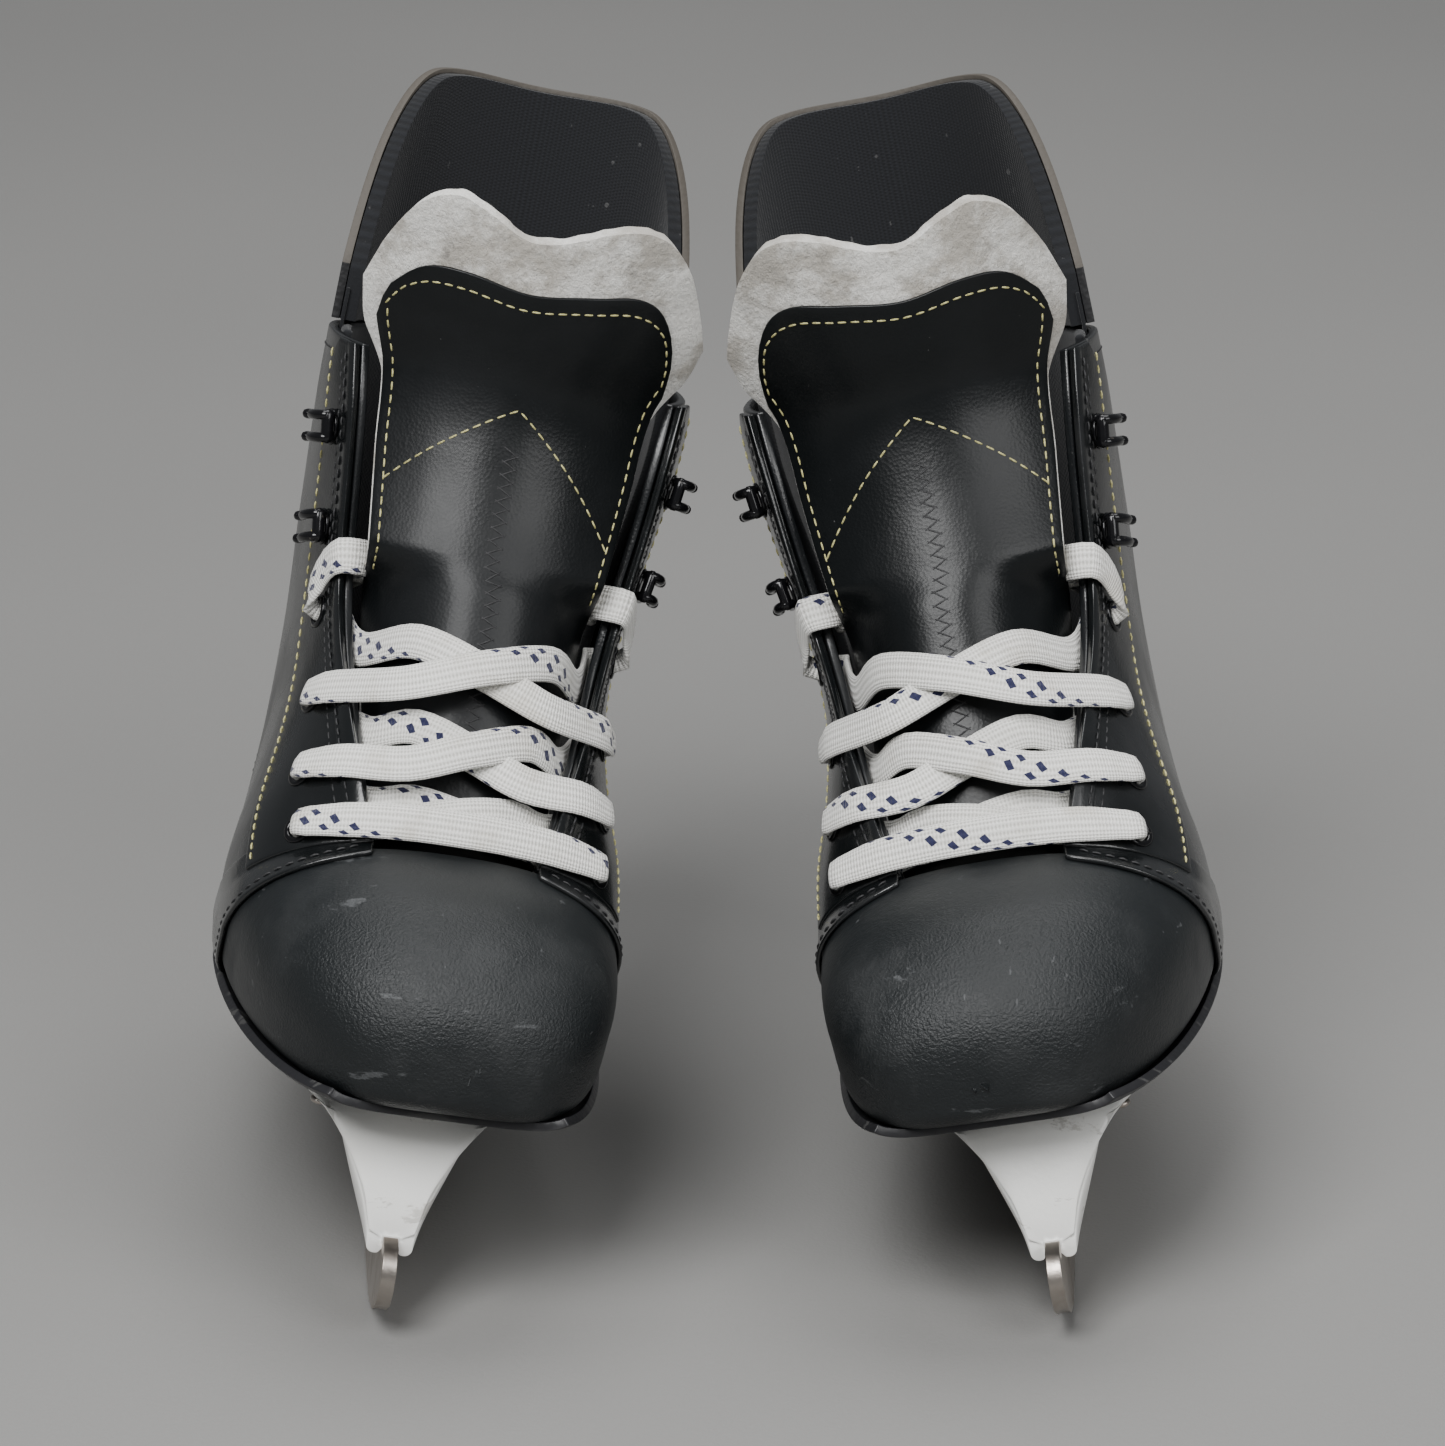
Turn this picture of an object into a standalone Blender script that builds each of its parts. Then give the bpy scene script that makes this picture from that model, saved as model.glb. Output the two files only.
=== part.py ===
"""A pair of junior hockey skates: two mirrored boots, each on a steel runner in a moulded holder.

Each skate is modelled in its own frame: the origin lies on the ice under the middle of the runner,
the toe points to -Y and +Z is up. The right skate's outer side is at -X. The left skate is its mirror.
The two stand on their runners with their toes turned in, and lean on each other at the top.
Sizes are in millimetres, and MM turns them into metres.
"""

import math

import bmesh
import bpy
from mathutils import Matrix, Vector

MM = 0.001
GAP = 0.3  # left between pieces that touch

# Where each skate stands: x and y of the runner's middle, lean inwards, toe-in.
STANCE = {
    "right": {"mirror": 1, "x": -85.5, "y": 0.0, "lean": 9.3, "toe_in": 4.5},
    "left": {"mirror": -1, "x": 87.1, "y": 1.5, "lean": 10.6, "toe_in": 3.0},
}
SHIFT_Y = -0.5  # puts the pair's box over the origin

# The upper bends inwards over its sole: where it starts, over what height, and how far in degrees.
BEND_FROM = 52.0
BEND_RISE = 120.0
BEND = 3.0

# The boot's upper: its nose, the foot of its throat, and the toe cap's seam on the sole.
NOSE = (-118.0, 68.0)
THROAT = (-62.0, 100.0)
SEAM = (-22.0, 50.0)
TOE_SHIFT = 9.0  # the big toe's side reaches further forward
THROAT_SHIFT = 4.0  # the throat lies nearer to the big toe's side, at its foot
# Behind the seam: parameter, top point (y, z), keel point (y, z) round sole, heel and back.
SPINE = [
    (0.00, -62, 100, -22, 50),
    (0.15, -55, 112, 15, 51),
    (0.30, -46, 127, 55, 53),
    (0.42, -38, 139, 93, 56),
    (0.50, -33, 147, 109, 66),
    (0.60, -27, 157, 114, 88),
    (0.75, -18, 172, 112, 120),
    (0.90, -10, 188, 106, 155),
    (1.00, -4, 198, 103, 178),
]
# Parameter, half width, share of the height below the widest place, roundness above and below it.
GIRTH = [
    (0.00, 45.5, 0.42, 2.3, 5.0),
    (0.15, 45, 0.40, 2.3, 5.0),
    (0.30, 41, 0.42, 2.3, 4.6),
    (0.42, 38.5, 0.46, 2.4, 3.2),
    (0.50, 38, 0.48, 2.4, 2.5),
    (0.60, 38.5, 0.48, 2.4, 2.3),
    (0.75, 41, 0.46, 2.5, 2.2),
    (0.90, 43.5, 0.45, 2.5, 2.2),
    (1.00, 44, 0.45, 2.5, 2.2),
]
THROAT_GAP = [(0.0, 19), (0.5, 30.5), (1.0, 38)]  # half the gap between the eyestays

# Where the shells have their rows, and how many columns a side has, so that nested shells keep apart.
CAP_ROWS = [-0.94, -0.84, -0.72, -0.58, -0.44, -0.28, -0.13]
BACK_ROWS = [0.004, 0.08, 0.16, 0.24, 0.32, 0.40, 0.46, 0.52, 0.60, 0.70, 0.80, 0.90, 1.0]
SIDE_COLUMNS = 9

SHELL = 2.2  # quarters
CAP = 2.5  # toe cap
EYESTAY_OUT = 2.0
EYESTAY_BAND = [(0.0, 27), (0.4, 21), (0.8, 16), (1.0, 14)]  # its width along the throat
EYELET_ROWS = (0.06, 0.20, 0.36, 0.53)
HOOK_ROWS = (0.68, 0.85)
EYELET_IN = [(0.0, 17), (0.2, 14.5), (0.5, 10.5), (1.0, 8)]  # from its edge to eyelets and hooks
EYELET_RADIUS = 2.9
LINER = (3.1, 5.6)
FOOTBED = (6.8, 8.8)
OUTSOLE = 3.0
TONGUE_SPLIT = 0.60
FACING = (6.6, 7.6)
FELT = (8.0, 11.2)

# Tongue above the top row of laces: share, centre (y, z), half width, how far its edges lie back.
TONGUE_TOP = [
    (0.00, -20, 154, 28, 9),
    (0.35, -7, 177, 31, 12),
    (0.62, -1, 195, 33, 14),
    (0.74, -3, 208, 37.5, 14),
    (0.88, -6, 224, 38.5, 12),
    (1.00, -9, 241, 29, 8),
]
FELT_MARGIN = 0.05  # how much wider the felt is than the facing, as a share of the half width
TONGUE_TILT = (26.0, 4.0)  # fall of its cross-wise bow, at the foot and at the top, in degrees

# Tendon guard: turn from the middle of the back, height above the collar.
GUARD_EDGE = [(0.0, 64), (0.62, 64), (0.85, 58), (1.10, 42), (1.38, 14)]
GUARD = (0.0, 2.0)
GUARD_PAD = (2.3, 6.0)
GUARD_LIFT = 1.0

# Holder: along the sole, how high it reaches (none where it meets the sole), half width at the top.
HOLDER = [
    (-108, 25, 5.2),
    (-104, 33, 7.5),
    (-99, 41, 12),
    (-95, None, 19),
    (-80, None, 25),
    (-60, None, 26),
    (-42, None, 22),
    (-36, None, 16),
    (-31, 36, 9),
    (-24, 31, 6.5),
    (2, 29.5, 6),
    (28, 31, 6.5),
    (35, 36, 9),
    (40, None, 16),
    (50, None, 20),
    (68, None, 22),
    (86, None, 20),
    (94, None, 15),
    (99, 38, 9),
    (103, 26, 5.8),
]
HOLDER_FOOT = (18.5, 5.6)  # height and half width of its lower edge
TOWER_WAIST = 16.0
FLANGE = 3.0
SLOT = (2.0, 4.6)  # half width and depth of the runner's slot
RUNNER_HALF = 1.7
BOLT_Y = (-70.0, 68.0)
BOLT = (2.0, 2.5)  # radius of shank, and of the bore round it
BOLT_HEAD = (3.8, 4.4, 3.0)  # radius, radius of its recess, height

# The hook from the side: how far out from its middle, and how high over the eyestay.
HOOK_OUTLINE = [
    (-4.0, 0.2),
    (4.4, 0.2),
    (4.4, 1.2),
    (-2.5, 1.2),
    (-2.5, 4.0),
    (3.4, 4.0),
    (4.3, 3.1),
    (5.2, 3.7),
    (4.2, 5.1),
    (-3.2, 5.1),
    (-4.0, 4.3),
]
HOOK_HALF = 3.6

LACE_RADIUS = 1.2
LACE_STEP = 11.0
# Heights of a strand over the upper's face as it crosses the throat, by the side that it comes from.
CROSS_UNDER_BAR = {-1: (-3.2, -1.2, -3.4), 1: (-4.2, -4.2, -4.0)}
CROSS_IN_GAP = {-1: (2.8, 1.4, -2.0), 1: (0.6, -2.6, -3.8)}
# A tail's way in past the tongue: how far past the eyestay's edge, how deep.
TAIL_DROP = [
    (-3.4, -3.6),
    (-4.8, 0.6),
    (-1.5, 4.7),
    (6, 4.8),
    (11, 5.6),
    (14, 10.0),
    (24, 10.5),
    (38, 9.5),
    (54, 9.0),
]
TAIL_CLIMB = 0.09  # how far up the throat a tail climbs on its way over the edge
# Its loop on the footbed: x towards its own side, y along the boot.
TAIL_ON_FOOTBED = [(22, 44), (23, 10), (19, -24), (11, -42), (5, -28), (5, 6), (7, 40), (9, 66)]
TAIL_HEIGHT = 12.0


def curve_through(keys, at):
    """The values at one parameter of a smooth curve through (parameter, *values) keys."""
    index = min(max(sum(key[0] <= at for key in keys) - 1, 0), len(keys) - 2)
    here, there = keys[index], keys[index + 1]
    before = keys[max(index - 1, 0)]
    after = keys[min(index + 2, len(keys) - 1)]
    span = there[0] - here[0]
    f = min(max((at - here[0]) / span, 0), 1)
    values = []
    for k in range(1, len(here)):
        leave = (there[k] - before[k]) / (there[0] - before[0]) * span
        arrive = (after[k] - here[k]) / (after[0] - here[0]) * span
        values.append(
            (2 * f**3 - 3 * f**2 + 1) * here[k]
            + (f**3 - 2 * f**2 + f) * leave
            + (3 * f**2 - 2 * f**3) * there[k]
            + (f**3 - f**2) * arrive
        )
    return values


def section(t):
    """The boot's section at t, from -1 at the nose over 0 at the toe cap's seam to 1 at the collar."""
    if t >= 0:
        top_y, top_z, keel_y, keel_z = curve_through(SPINE, t)
        half, widest, above, below = curve_through(GIRTH, t)
        return Vector((0, top_y, top_z)), Vector((0, keel_y, keel_z)), half, widest, above, below, 0, 0
    turn = (1 + t) * math.pi / 2
    ahead, rise = math.cos(turn), math.sin(turn)
    top_y = THROAT[0] + (NOSE[0] - THROAT[0]) * ahead**0.9
    top_z = NOSE[1] + (THROAT[1] - NOSE[1]) * rise**0.8
    keel_y = SEAM[0] + (NOSE[0] - SEAM[0]) * ahead
    keel_z = NOSE[1] - (NOSE[1] - SEAM[1]) * rise**0.4
    top, keel = Vector((0, top_y, top_z)), Vector((0, keel_y, keel_z))
    _, half, widest, above, below = GIRTH[0]
    return top, keel, half * rise**0.65, widest, above, below, TOE_SHIFT * ahead**1.5, ahead


def skin(t, angle, inset=0.0):
    """A point of the upper, inset from its outer face. The angle runs from 0 at the top to pi at the
    keel, and is negative on the outer side."""
    top, keel, half, widest, above, below, shift, ahead = section(t)
    along = (keel - top).normalized()
    depth = inset * (1 - ahead) ** 0.5
    top = top + along * depth + Vector((0, inset * ahead, 0))
    keel = keel - along * depth + Vector((0, inset * ahead, 0))
    height = (keel - top).length
    half = max(half - inset, 0.4)
    turn = abs(angle)
    roundness = above if turn <= math.pi / 2 else below
    reach = math.sin(turn) ** (2 / roundness) if 0 < turn < math.pi else 0
    level = abs(math.cos(turn)) ** (2 / roundness)
    drop = height * (1 - widest)
    drop = drop - drop * level if turn <= math.pi / 2 else drop + (height - drop) * level
    point = top + along * drop
    shift += THROAT_SHIFT * max(math.cos(turn), 0) * (1 - abs(t)) if -1 < t < 1 else 0
    return Vector((shift + math.copysign(half * reach, angle), point.y, point.z))


def bent(point):
    """The point once the upper is bent inwards over its sole."""
    height = point.z - BEND_FROM
    if height <= 0:
        return point.copy()
    share = min(height / BEND_RISE, 1)
    turn = math.radians(BEND) * share * share * (3 - 2 * share)
    across = point.x * math.cos(turn) + height * math.sin(turn)
    return Vector((across, point.y, BEND_FROM + height * math.cos(turn) - point.x * math.sin(turn)))


def edge_angle(t, beyond=0.0):
    """The angle at the eyestay's edge, or as many millimetres past it towards the sole."""
    _, _, half, _, above, _, _, _ = section(max(t, 0))
    gap = curve_through(THROAT_GAP, max(t, 0))[0]
    angle = math.asin(min(gap / half, 0.99) ** (above / 2))
    step = 0.02
    speed = (skin(max(t, 0), angle + step) - skin(max(t, 0), angle)).length / step
    return angle + beyond / speed


def eyelet_angle(t, beyond=0.0):
    """The angle of the line of eyelets and hooks, or as many millimetres past it."""
    return edge_angle(t, curve_through(EYELET_IN, t)[0] + beyond)


def spaced(start, end, count):
    return [start + (end - start) * i / (count - 1) for i in range(count)]


def side_angles(t):
    """The angles of one side's columns, from the eyestay's edge to the keel."""
    return spaced(edge_angle(t), math.pi, SIDE_COLUMNS)


def sole_height(y):
    """The height of the upper's underside at one place along the sole."""
    keels = [section(t)[1] for t in spaced(-0.8, 0.46, 60)]
    nearest = min(range(len(keels) - 1), key=lambda i: abs(keels[i].y + keels[i + 1].y - 2 * y))
    a, b = keels[nearest], keels[nearest + 1]
    return a.z + (b.z - a.z) * (y - a.y) / (b.y - a.y)


def finish_mesh(bm):
    bmesh.ops.remove_doubles(bm, verts=bm.verts, dist=0.01)
    bmesh.ops.recalc_face_normals(bm, faces=bm.faces)


def shell(outer, inner, ring=False, capped=False):
    """A closed solid between two grids of points. A ring joins its last column to its first, and a
    cap closes its first row."""
    bm = bmesh.new()
    layers = [[[bm.verts.new(point) for point in row] for row in grid] for grid in (outer, inner)]
    rows, columns = len(outer), len(outer[0])
    steps = columns if ring else columns - 1
    for grid in layers:
        for i in range(rows - 1):
            for j in range(steps):
                k = (j + 1) % columns
                bm.faces.new((grid[i][j], grid[i][k], grid[i + 1][k], grid[i + 1][j]))
        if capped:
            bm.faces.new(grid[0])
    out, into = layers
    for i in ([] if capped else [0]) + [rows - 1]:
        for j in range(steps):
            k = (j + 1) % columns
            bm.faces.new((out[i][j], out[i][k], into[i][k], into[i][j]))
    for j in [] if ring else [0, columns - 1]:
        for i in range(rows - 1):
            bm.faces.new((out[i][j], out[i + 1][j], into[i + 1][j], into[i][j]))
    finish_mesh(bm)
    return bm


def prism(outline, low, high):
    """An outline of (y, z) points, drawn out across from low to high in x."""
    bm = bmesh.new()
    ends = [[bm.verts.new((x, y, z)) for y, z in outline] for x in (low, high)]
    for end in ends:
        bm.faces.new(end)
    for i in range(len(outline)):
        k = (i + 1) % len(outline)
        bm.faces.new((ends[0][i], ends[0][k], ends[1][k], ends[1][i]))
    finish_mesh(bm)
    return bm


def turned(profile, sides):
    """A solid turned about +Z from (radius, height) points that start and end on the axis."""
    bm = bmesh.new()
    loops = []
    for radius, height in profile:
        if radius == 0:
            loops.append([bm.verts.new((0, 0, height))] * sides)
            continue
        turns = [2 * math.pi * k / sides for k in range(sides)]
        loops.append([bm.verts.new((radius * math.cos(a), radius * math.sin(a), height)) for a in turns])
    for lower, upper in zip(loops, loops[1:]):
        for k in range(sides):
            m = (k + 1) % sides
            corners = [lower[k], lower[m], upper[m], upper[k]]
            bm.faces.new(list(dict.fromkeys(corners)))
    finish_mesh(bm)
    return bm


def make_material(name, color, roughness, metallic=0.0):
    material = bpy.data.materials.new(name)
    material.use_nodes = True
    shader = material.node_tree.nodes["Principled BSDF"]
    shader.inputs["Base Color"].default_value = (*color, 1)
    shader.inputs["Roughness"].default_value = roughness
    shader.inputs["Metallic"].default_value = metallic
    return material


class Skate:
    """One skate: where it stands, and how its pieces are added."""

    def __init__(self, side, materials):
        self.side = side
        self.materials = materials
        stance = STANCE[side]
        self.mirror = stance["mirror"]
        self.stand = self.empty(f"{side}_skate", None, Vector())
        lift = RUNNER_HALF * math.sin(math.radians(stance["lean"]))
        place = Vector((stance["x"], stance["y"] + SHIFT_Y, lift)) * MM
        turn = Matrix.Rotation(math.radians(self.mirror * stance["toe_in"]), 4, "Z")
        lean = Matrix.Rotation(math.radians(self.mirror * stance["lean"]), 4, "Y")
        self.stand.matrix_world = Matrix.Translation(place) @ turn @ lean
        self.pivots = {}

    def empty(self, name, parent, at):
        holder = bpy.data.objects.new(name, None)
        bpy.context.scene.collection.objects.link(holder)
        holder.parent = parent
        holder.location = Vector((at.x * self.mirror, at.y, at.z)) * MM
        return holder

    def pivot(self, name, at):
        at = bent(at)
        self.pivots[name] = (self.empty(f"{self.side}_{name}", self.stand, at), at)

    def add(self, name, bm, material, pivot=None, sharp=40):
        """Links the mesh as this skate's piece, mirrored on the left skate."""
        parent, origin = self.pivots[pivot] if pivot else (self.stand, Vector())
        for vertex in bm.verts:
            vertex.co = (bent(vertex.co) - origin) * MM
            vertex.co.x *= self.mirror
        if bm.calc_volume(signed=True) < 0:
            bmesh.ops.reverse_faces(bm, faces=bm.faces)
        mesh = bpy.data.meshes.new(name)
        bm.to_mesh(mesh)
        bm.free()
        mesh.shade_smooth()
        mesh.set_sharp_from_angle(angle=math.radians(sharp))
        piece = bpy.data.objects.new(f"{self.side}_{name}", mesh)
        bpy.context.scene.collection.objects.link(piece)
        piece.parent = parent
        piece.data.materials.append(self.materials[material])
        return piece

    def cut(self, piece, name, bm):
        """Subtracts a cutter from the piece."""
        cutter = self.add(name, bm, "holder")
        cutter.hide_render = True
        cutter.display_type = "WIRE"
        cutter.hide_set(True)
        boolean = piece.modifiers.new(name, "BOOLEAN")
        boolean.operation = "DIFFERENCE"
        boolean.solver = "EXACT"
        boolean.object = cutter


def upright(bm, y, z):
    bmesh.ops.translate(bm, verts=bm.verts, vec=(0, y, z))
    return bm


def add_runner(skate):
    """The steel blade: a flat middle on the ice, both ends curving up, its top edge in the holder."""
    foot = HOLDER_FOOT[0]
    top = foot + SLOT[1] - GAP
    front = [(-80, 0.4), (-97, 1.6), (-108, 4.6), (-115.5, 9.0), (-118.5, 14), (-118, 19)]
    back = [(106.5, 19.5), (108.5, 14), (106, 7), (100, 3), (90, 1.0), (76, 0.3)]
    outline = [(60, 0), (-60, 0)] + front + [(-114, top), (101, top)] + back
    skate.add("runner", prism(outline, -RUNNER_HALF, RUNNER_HALF), "steel", sharp=25)


def holder_section(y, reach, half):
    """The holder's closed section across one place: slot, foot, flank and flange on both sides."""
    foot, foot_half = HOLDER_FOOT
    slot_half, slot_depth = SLOT
    top = sole_height(y) - OUTSOLE - GAP if reach is None else reach
    waist = min(TOWER_WAIST, half)
    half_points = [
        (slot_half, foot + slot_depth),
        (slot_half, foot),
        (min(foot_half, half), foot),
        (foot_half + (waist - foot_half) * 0.52, foot + (top - FLANGE - foot) * 0.5),
        (waist, top - FLANGE),
        (half, top - FLANGE * 0.7),
        (half, top),
    ]
    right = [Vector((x, y, z)) for x, z in half_points]
    left = [Vector((-x, y, z)) for x, z in reversed(half_points)]
    return right + left


def add_holder(skate):
    """The moulded holder: two towers on the sole, joined by a bridge along the runner."""
    bm = bmesh.new()
    loops = [[bm.verts.new(point) for point in holder_section(*station)] for station in HOLDER]
    count = len(loops[0])
    for here, there in zip(loops, loops[1:]):
        for k in range(count):
            m = (k + 1) % count
            bm.faces.new((here[k], here[m], there[m], there[k]))
    bm.faces.new(loops[0])
    bm.faces.new(loops[-1])
    bmesh.ops.recalc_face_normals(bm, faces=bm.faces)
    holder = skate.add("holder", bm, "holder")
    head, recess, depth = BOLT_HEAD
    for name, y in zip(("front", "rear"), BOLT_Y):
        top = sole_height(y) - OUTSOLE - GAP
        bottom = HOLDER_FOOT[0] + SLOT[1]
        floor = top - depth - GAP
        bore = [(0, bottom - 1), (BOLT[1], bottom - 1), (BOLT[1], floor)]
        bore += [(recess, floor), (recess, top + 3), (0, top + 3)]
        skate.cut(holder, f"{name}_bore", upright(turned(bore, 12), y, 0))
        shank = [(0, bottom), (BOLT[0], bottom), (BOLT[0], floor + GAP)]
        shank += [(head, floor + GAP), (head, top), (0, top)]
        skate.add(f"{name}_runner_bolt", upright(turned(shank, 12), y, 0), "steel")


def round_keel(rows, first, inset):
    """A grid over the underside, from one side round the keel to the other. It leaves out each side's
    first columns."""
    grid = []
    for t in rows:
        side = side_angles(t)[first:]
        angles = [-angle for angle in side[:-1]] + list(reversed(side))
        grid.append([skin(t, angle, inset) for angle in angles])
    return grid


def add_sole(skate):
    """Outsole under the upper, and the footbed inside it."""
    rows = CAP_ROWS[2:] + [0.0] + BACK_ROWS[1:7]
    outer = round_keel(rows, 5, -OUTSOLE)
    inner = round_keel(rows, 5, -3 * GAP)
    skate.add("outsole", shell(outer, inner), "sole")
    rows = CAP_ROWS[3:] + [0.0] + BACK_ROWS[1:6]
    outer = round_keel(rows, 6, FOOTBED[0])
    inner = round_keel(rows, 6, FOOTBED[1])
    skate.add("footbed", shell(outer, inner), "footbed")


def add_toe_cap(skate):
    """The moulded toe cap: a closed cup that opens backwards at the seam."""
    rows = CAP_ROWS + [-0.004]
    side = side_angles(0)
    over = spaced(-side[0], side[0], 5)[1:-1]
    angles = [-angle for angle in reversed(side)] + over + side[:-1]
    outer = [[skin(t, angle) for angle in angles] for t in rows]
    inner = [[skin(t, angle, CAP) for angle in angles] for t in rows]
    skate.add("toe_cap", shell(outer, inner, ring=True, capped=True), "toe_cap")


def add_quarter(skate, name, hand):
    """One side of the upper with its eyestay, eyelet holes and lace hooks."""
    grids = []
    for inset in (0, SHELL):
        grid = []
        for t in BACK_ROWS:
            row = [skin(t, hand * angle, inset) for angle in side_angles(t)]
            row[-1].x = hand * GAP / 2
            grid.append(row)
        grids.append(grid)
    quarter = skate.add(f"{name}_quarter", shell(*grids), "quarter")

    grids = []
    for inset in (-EYESTAY_OUT, -2 * GAP):
        grid = []
        for t in BACK_ROWS:
            span = spaced(edge_angle(t), edge_angle(t, curve_through(EYESTAY_BAND, t)[0]), 5)
            grid.append([skin(t, hand * angle, inset) for angle in span])
        grids.append(grid)
    eyestay = skate.add(f"{name}_eyestay", shell(*grids), "eyestay")

    for row, t in enumerate(EYELET_ROWS):
        at, normal, _, _ = on_upper(t, hand * eyelet_angle(t))
        drill = turned([(0, -8), (EYELET_RADIUS, -8), (EYELET_RADIUS, 8), (0, 8)], 8)
        drill.transform(Matrix.Translation(at) @ normal.to_track_quat("Z", "Y").to_matrix().to_4x4())
        for piece in (quarter, eyestay):
            skate.cut(piece, f"{piece.name}_eyelet_{row}", drill.copy())
        drill.free()

    for place, t in zip(("lower", "upper"), HOOK_ROWS):
        at, normal, out, up = on_upper(t, hand * eyelet_angle(t), EYESTAY_OUT + GAP)
        bm = prism(HOOK_OUTLINE, -HOOK_HALF, HOOK_HALF)
        frame = Matrix((up, out, normal)).transposed().to_4x4()
        bm.transform(Matrix.Translation(at) @ frame)
        skate.add(f"{name}_{place}_hook", bm, "hook")


def on_upper(t, angle, above=0.0):
    """A place over the upper, with the directions out of it, away from the throat, and up along it."""
    step = 0.01
    at = skin(t, angle)
    away = (skin(t, angle + math.copysign(step, angle)) - at).normalized()
    up = (skin(t + step, angle) - skin(t - step, angle)).normalized()
    normal = away.cross(up) if angle < 0 else up.cross(away)
    normal = normal.normalized()
    if normal.dot(at - skin(t, angle, 1.0)) < 0:
        normal = -normal
    up = (up - away * up.dot(away)).normalized()
    return at + normal * above, normal, away, up


def add_liner(skate):
    """The padded lining round heel and ankle, inside both quarters."""
    outer = round_keel(BACK_ROWS[1:], 2, LINER[0])
    inner = round_keel(BACK_ROWS[1:], 2, LINER[1])
    skate.add("ankle_liner", shell(outer, inner), "lining")


def tongue_base(insets, beyond):
    """Both grids of one layer of the tongue under the laces."""
    grids = []
    for inset in insets:
        grid = []
        for t in [-0.06, *BACK_ROWS[:8], TONGUE_SPLIT - 0.008]:
            edge = edge_angle(t, beyond)
            grid.append([skin(t, angle, inset) for angle in spaced(-edge, edge, 7)])
        grids.append(grid)
    return grids


def tongue_point(share, across, depth):
    """A place on the tongue above the laces, from -1 to 1 across, at a depth behind its face."""
    y, z, half, bow = curve_through(TONGUE_TOP, share)
    fall = math.radians(TONGUE_TILT[0] + (TONGUE_TILT[1] - TONGUE_TILT[0]) * share)
    back = Vector((0, math.cos(fall), -math.sin(fall)))
    return Vector((half * across, y, z)) + back * (bow * across**2 + depth)


def add_tongue(skate):
    """Felt behind a smooth facing. The part above the laces is free to fold forwards."""
    skate.add("tongue_base_facing", shell(*tongue_base(FACING, 3)), "facing")
    skate.add("tongue_base_felt", shell(*tongue_base(FELT, 5)), "felt")
    skate.pivot("tongue_hinge", tongue_point(0, 0, 0))
    rows = [0.0, 0.2, 0.4, 0.55, 0.66, 0.76, 0.88, 1.0]
    columns = spaced(-1, 1, 9)
    for name, material, depths, count, wider in (
        ("tongue_top_facing", "facing", (0.0, 1.0), 6, 0.0),
        ("tongue_top_felt", "felt", (1.4, 5.0), 8, FELT_MARGIN),
    ):
        grids = []
        for depth in depths:
            grid = []
            for share in rows[:count]:
                past = wider * min(max((share - 0.68) / 0.06, 0.02), 1)
                spread = [-1 - past, *columns, 1 + past] if wider else columns
                grid.append([tongue_point(share, across, depth) for across in spread])
            grids.append(grid)
        skate.add(name, shell(*grids), material, pivot="tongue_hinge")


def add_tendon_guard(skate):
    """The stiff guard behind the ankle, with its padded lining."""
    top, keel = section(1.0)[:2]
    along = (keel - top).normalized()
    up = Vector((0, -along.z, along.y))
    skate.pivot("guard_hinge", keel + up * GUARD_LIFT)
    for name, (out, into), material in (("tendon_guard", GUARD, "guard"), ("guard_pad", GUARD_PAD, "lining")):
        turns = [0.0, 0.22, 0.44, 0.62, 0.78, 0.94, 1.10, 1.25, 1.38]
        turns = [-turn for turn in reversed(turns[1:])] + turns
        grids = []
        for inset in (out, into):
            grid = []
            for share in (0, 0.34, 0.67, 1):
                row = []
                for turn in turns:
                    height = curve_through(GUARD_EDGE, abs(turn))[0]
                    angle = math.copysign(math.pi - abs(turn), turn)
                    row.append(skin(1.0, angle, inset) + up * (GUARD_LIFT + share * height))
                grid.append(row)
            grids.append(grid)
        skate.add(name, shell(*grids), material, pivot="guard_hinge")


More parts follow.
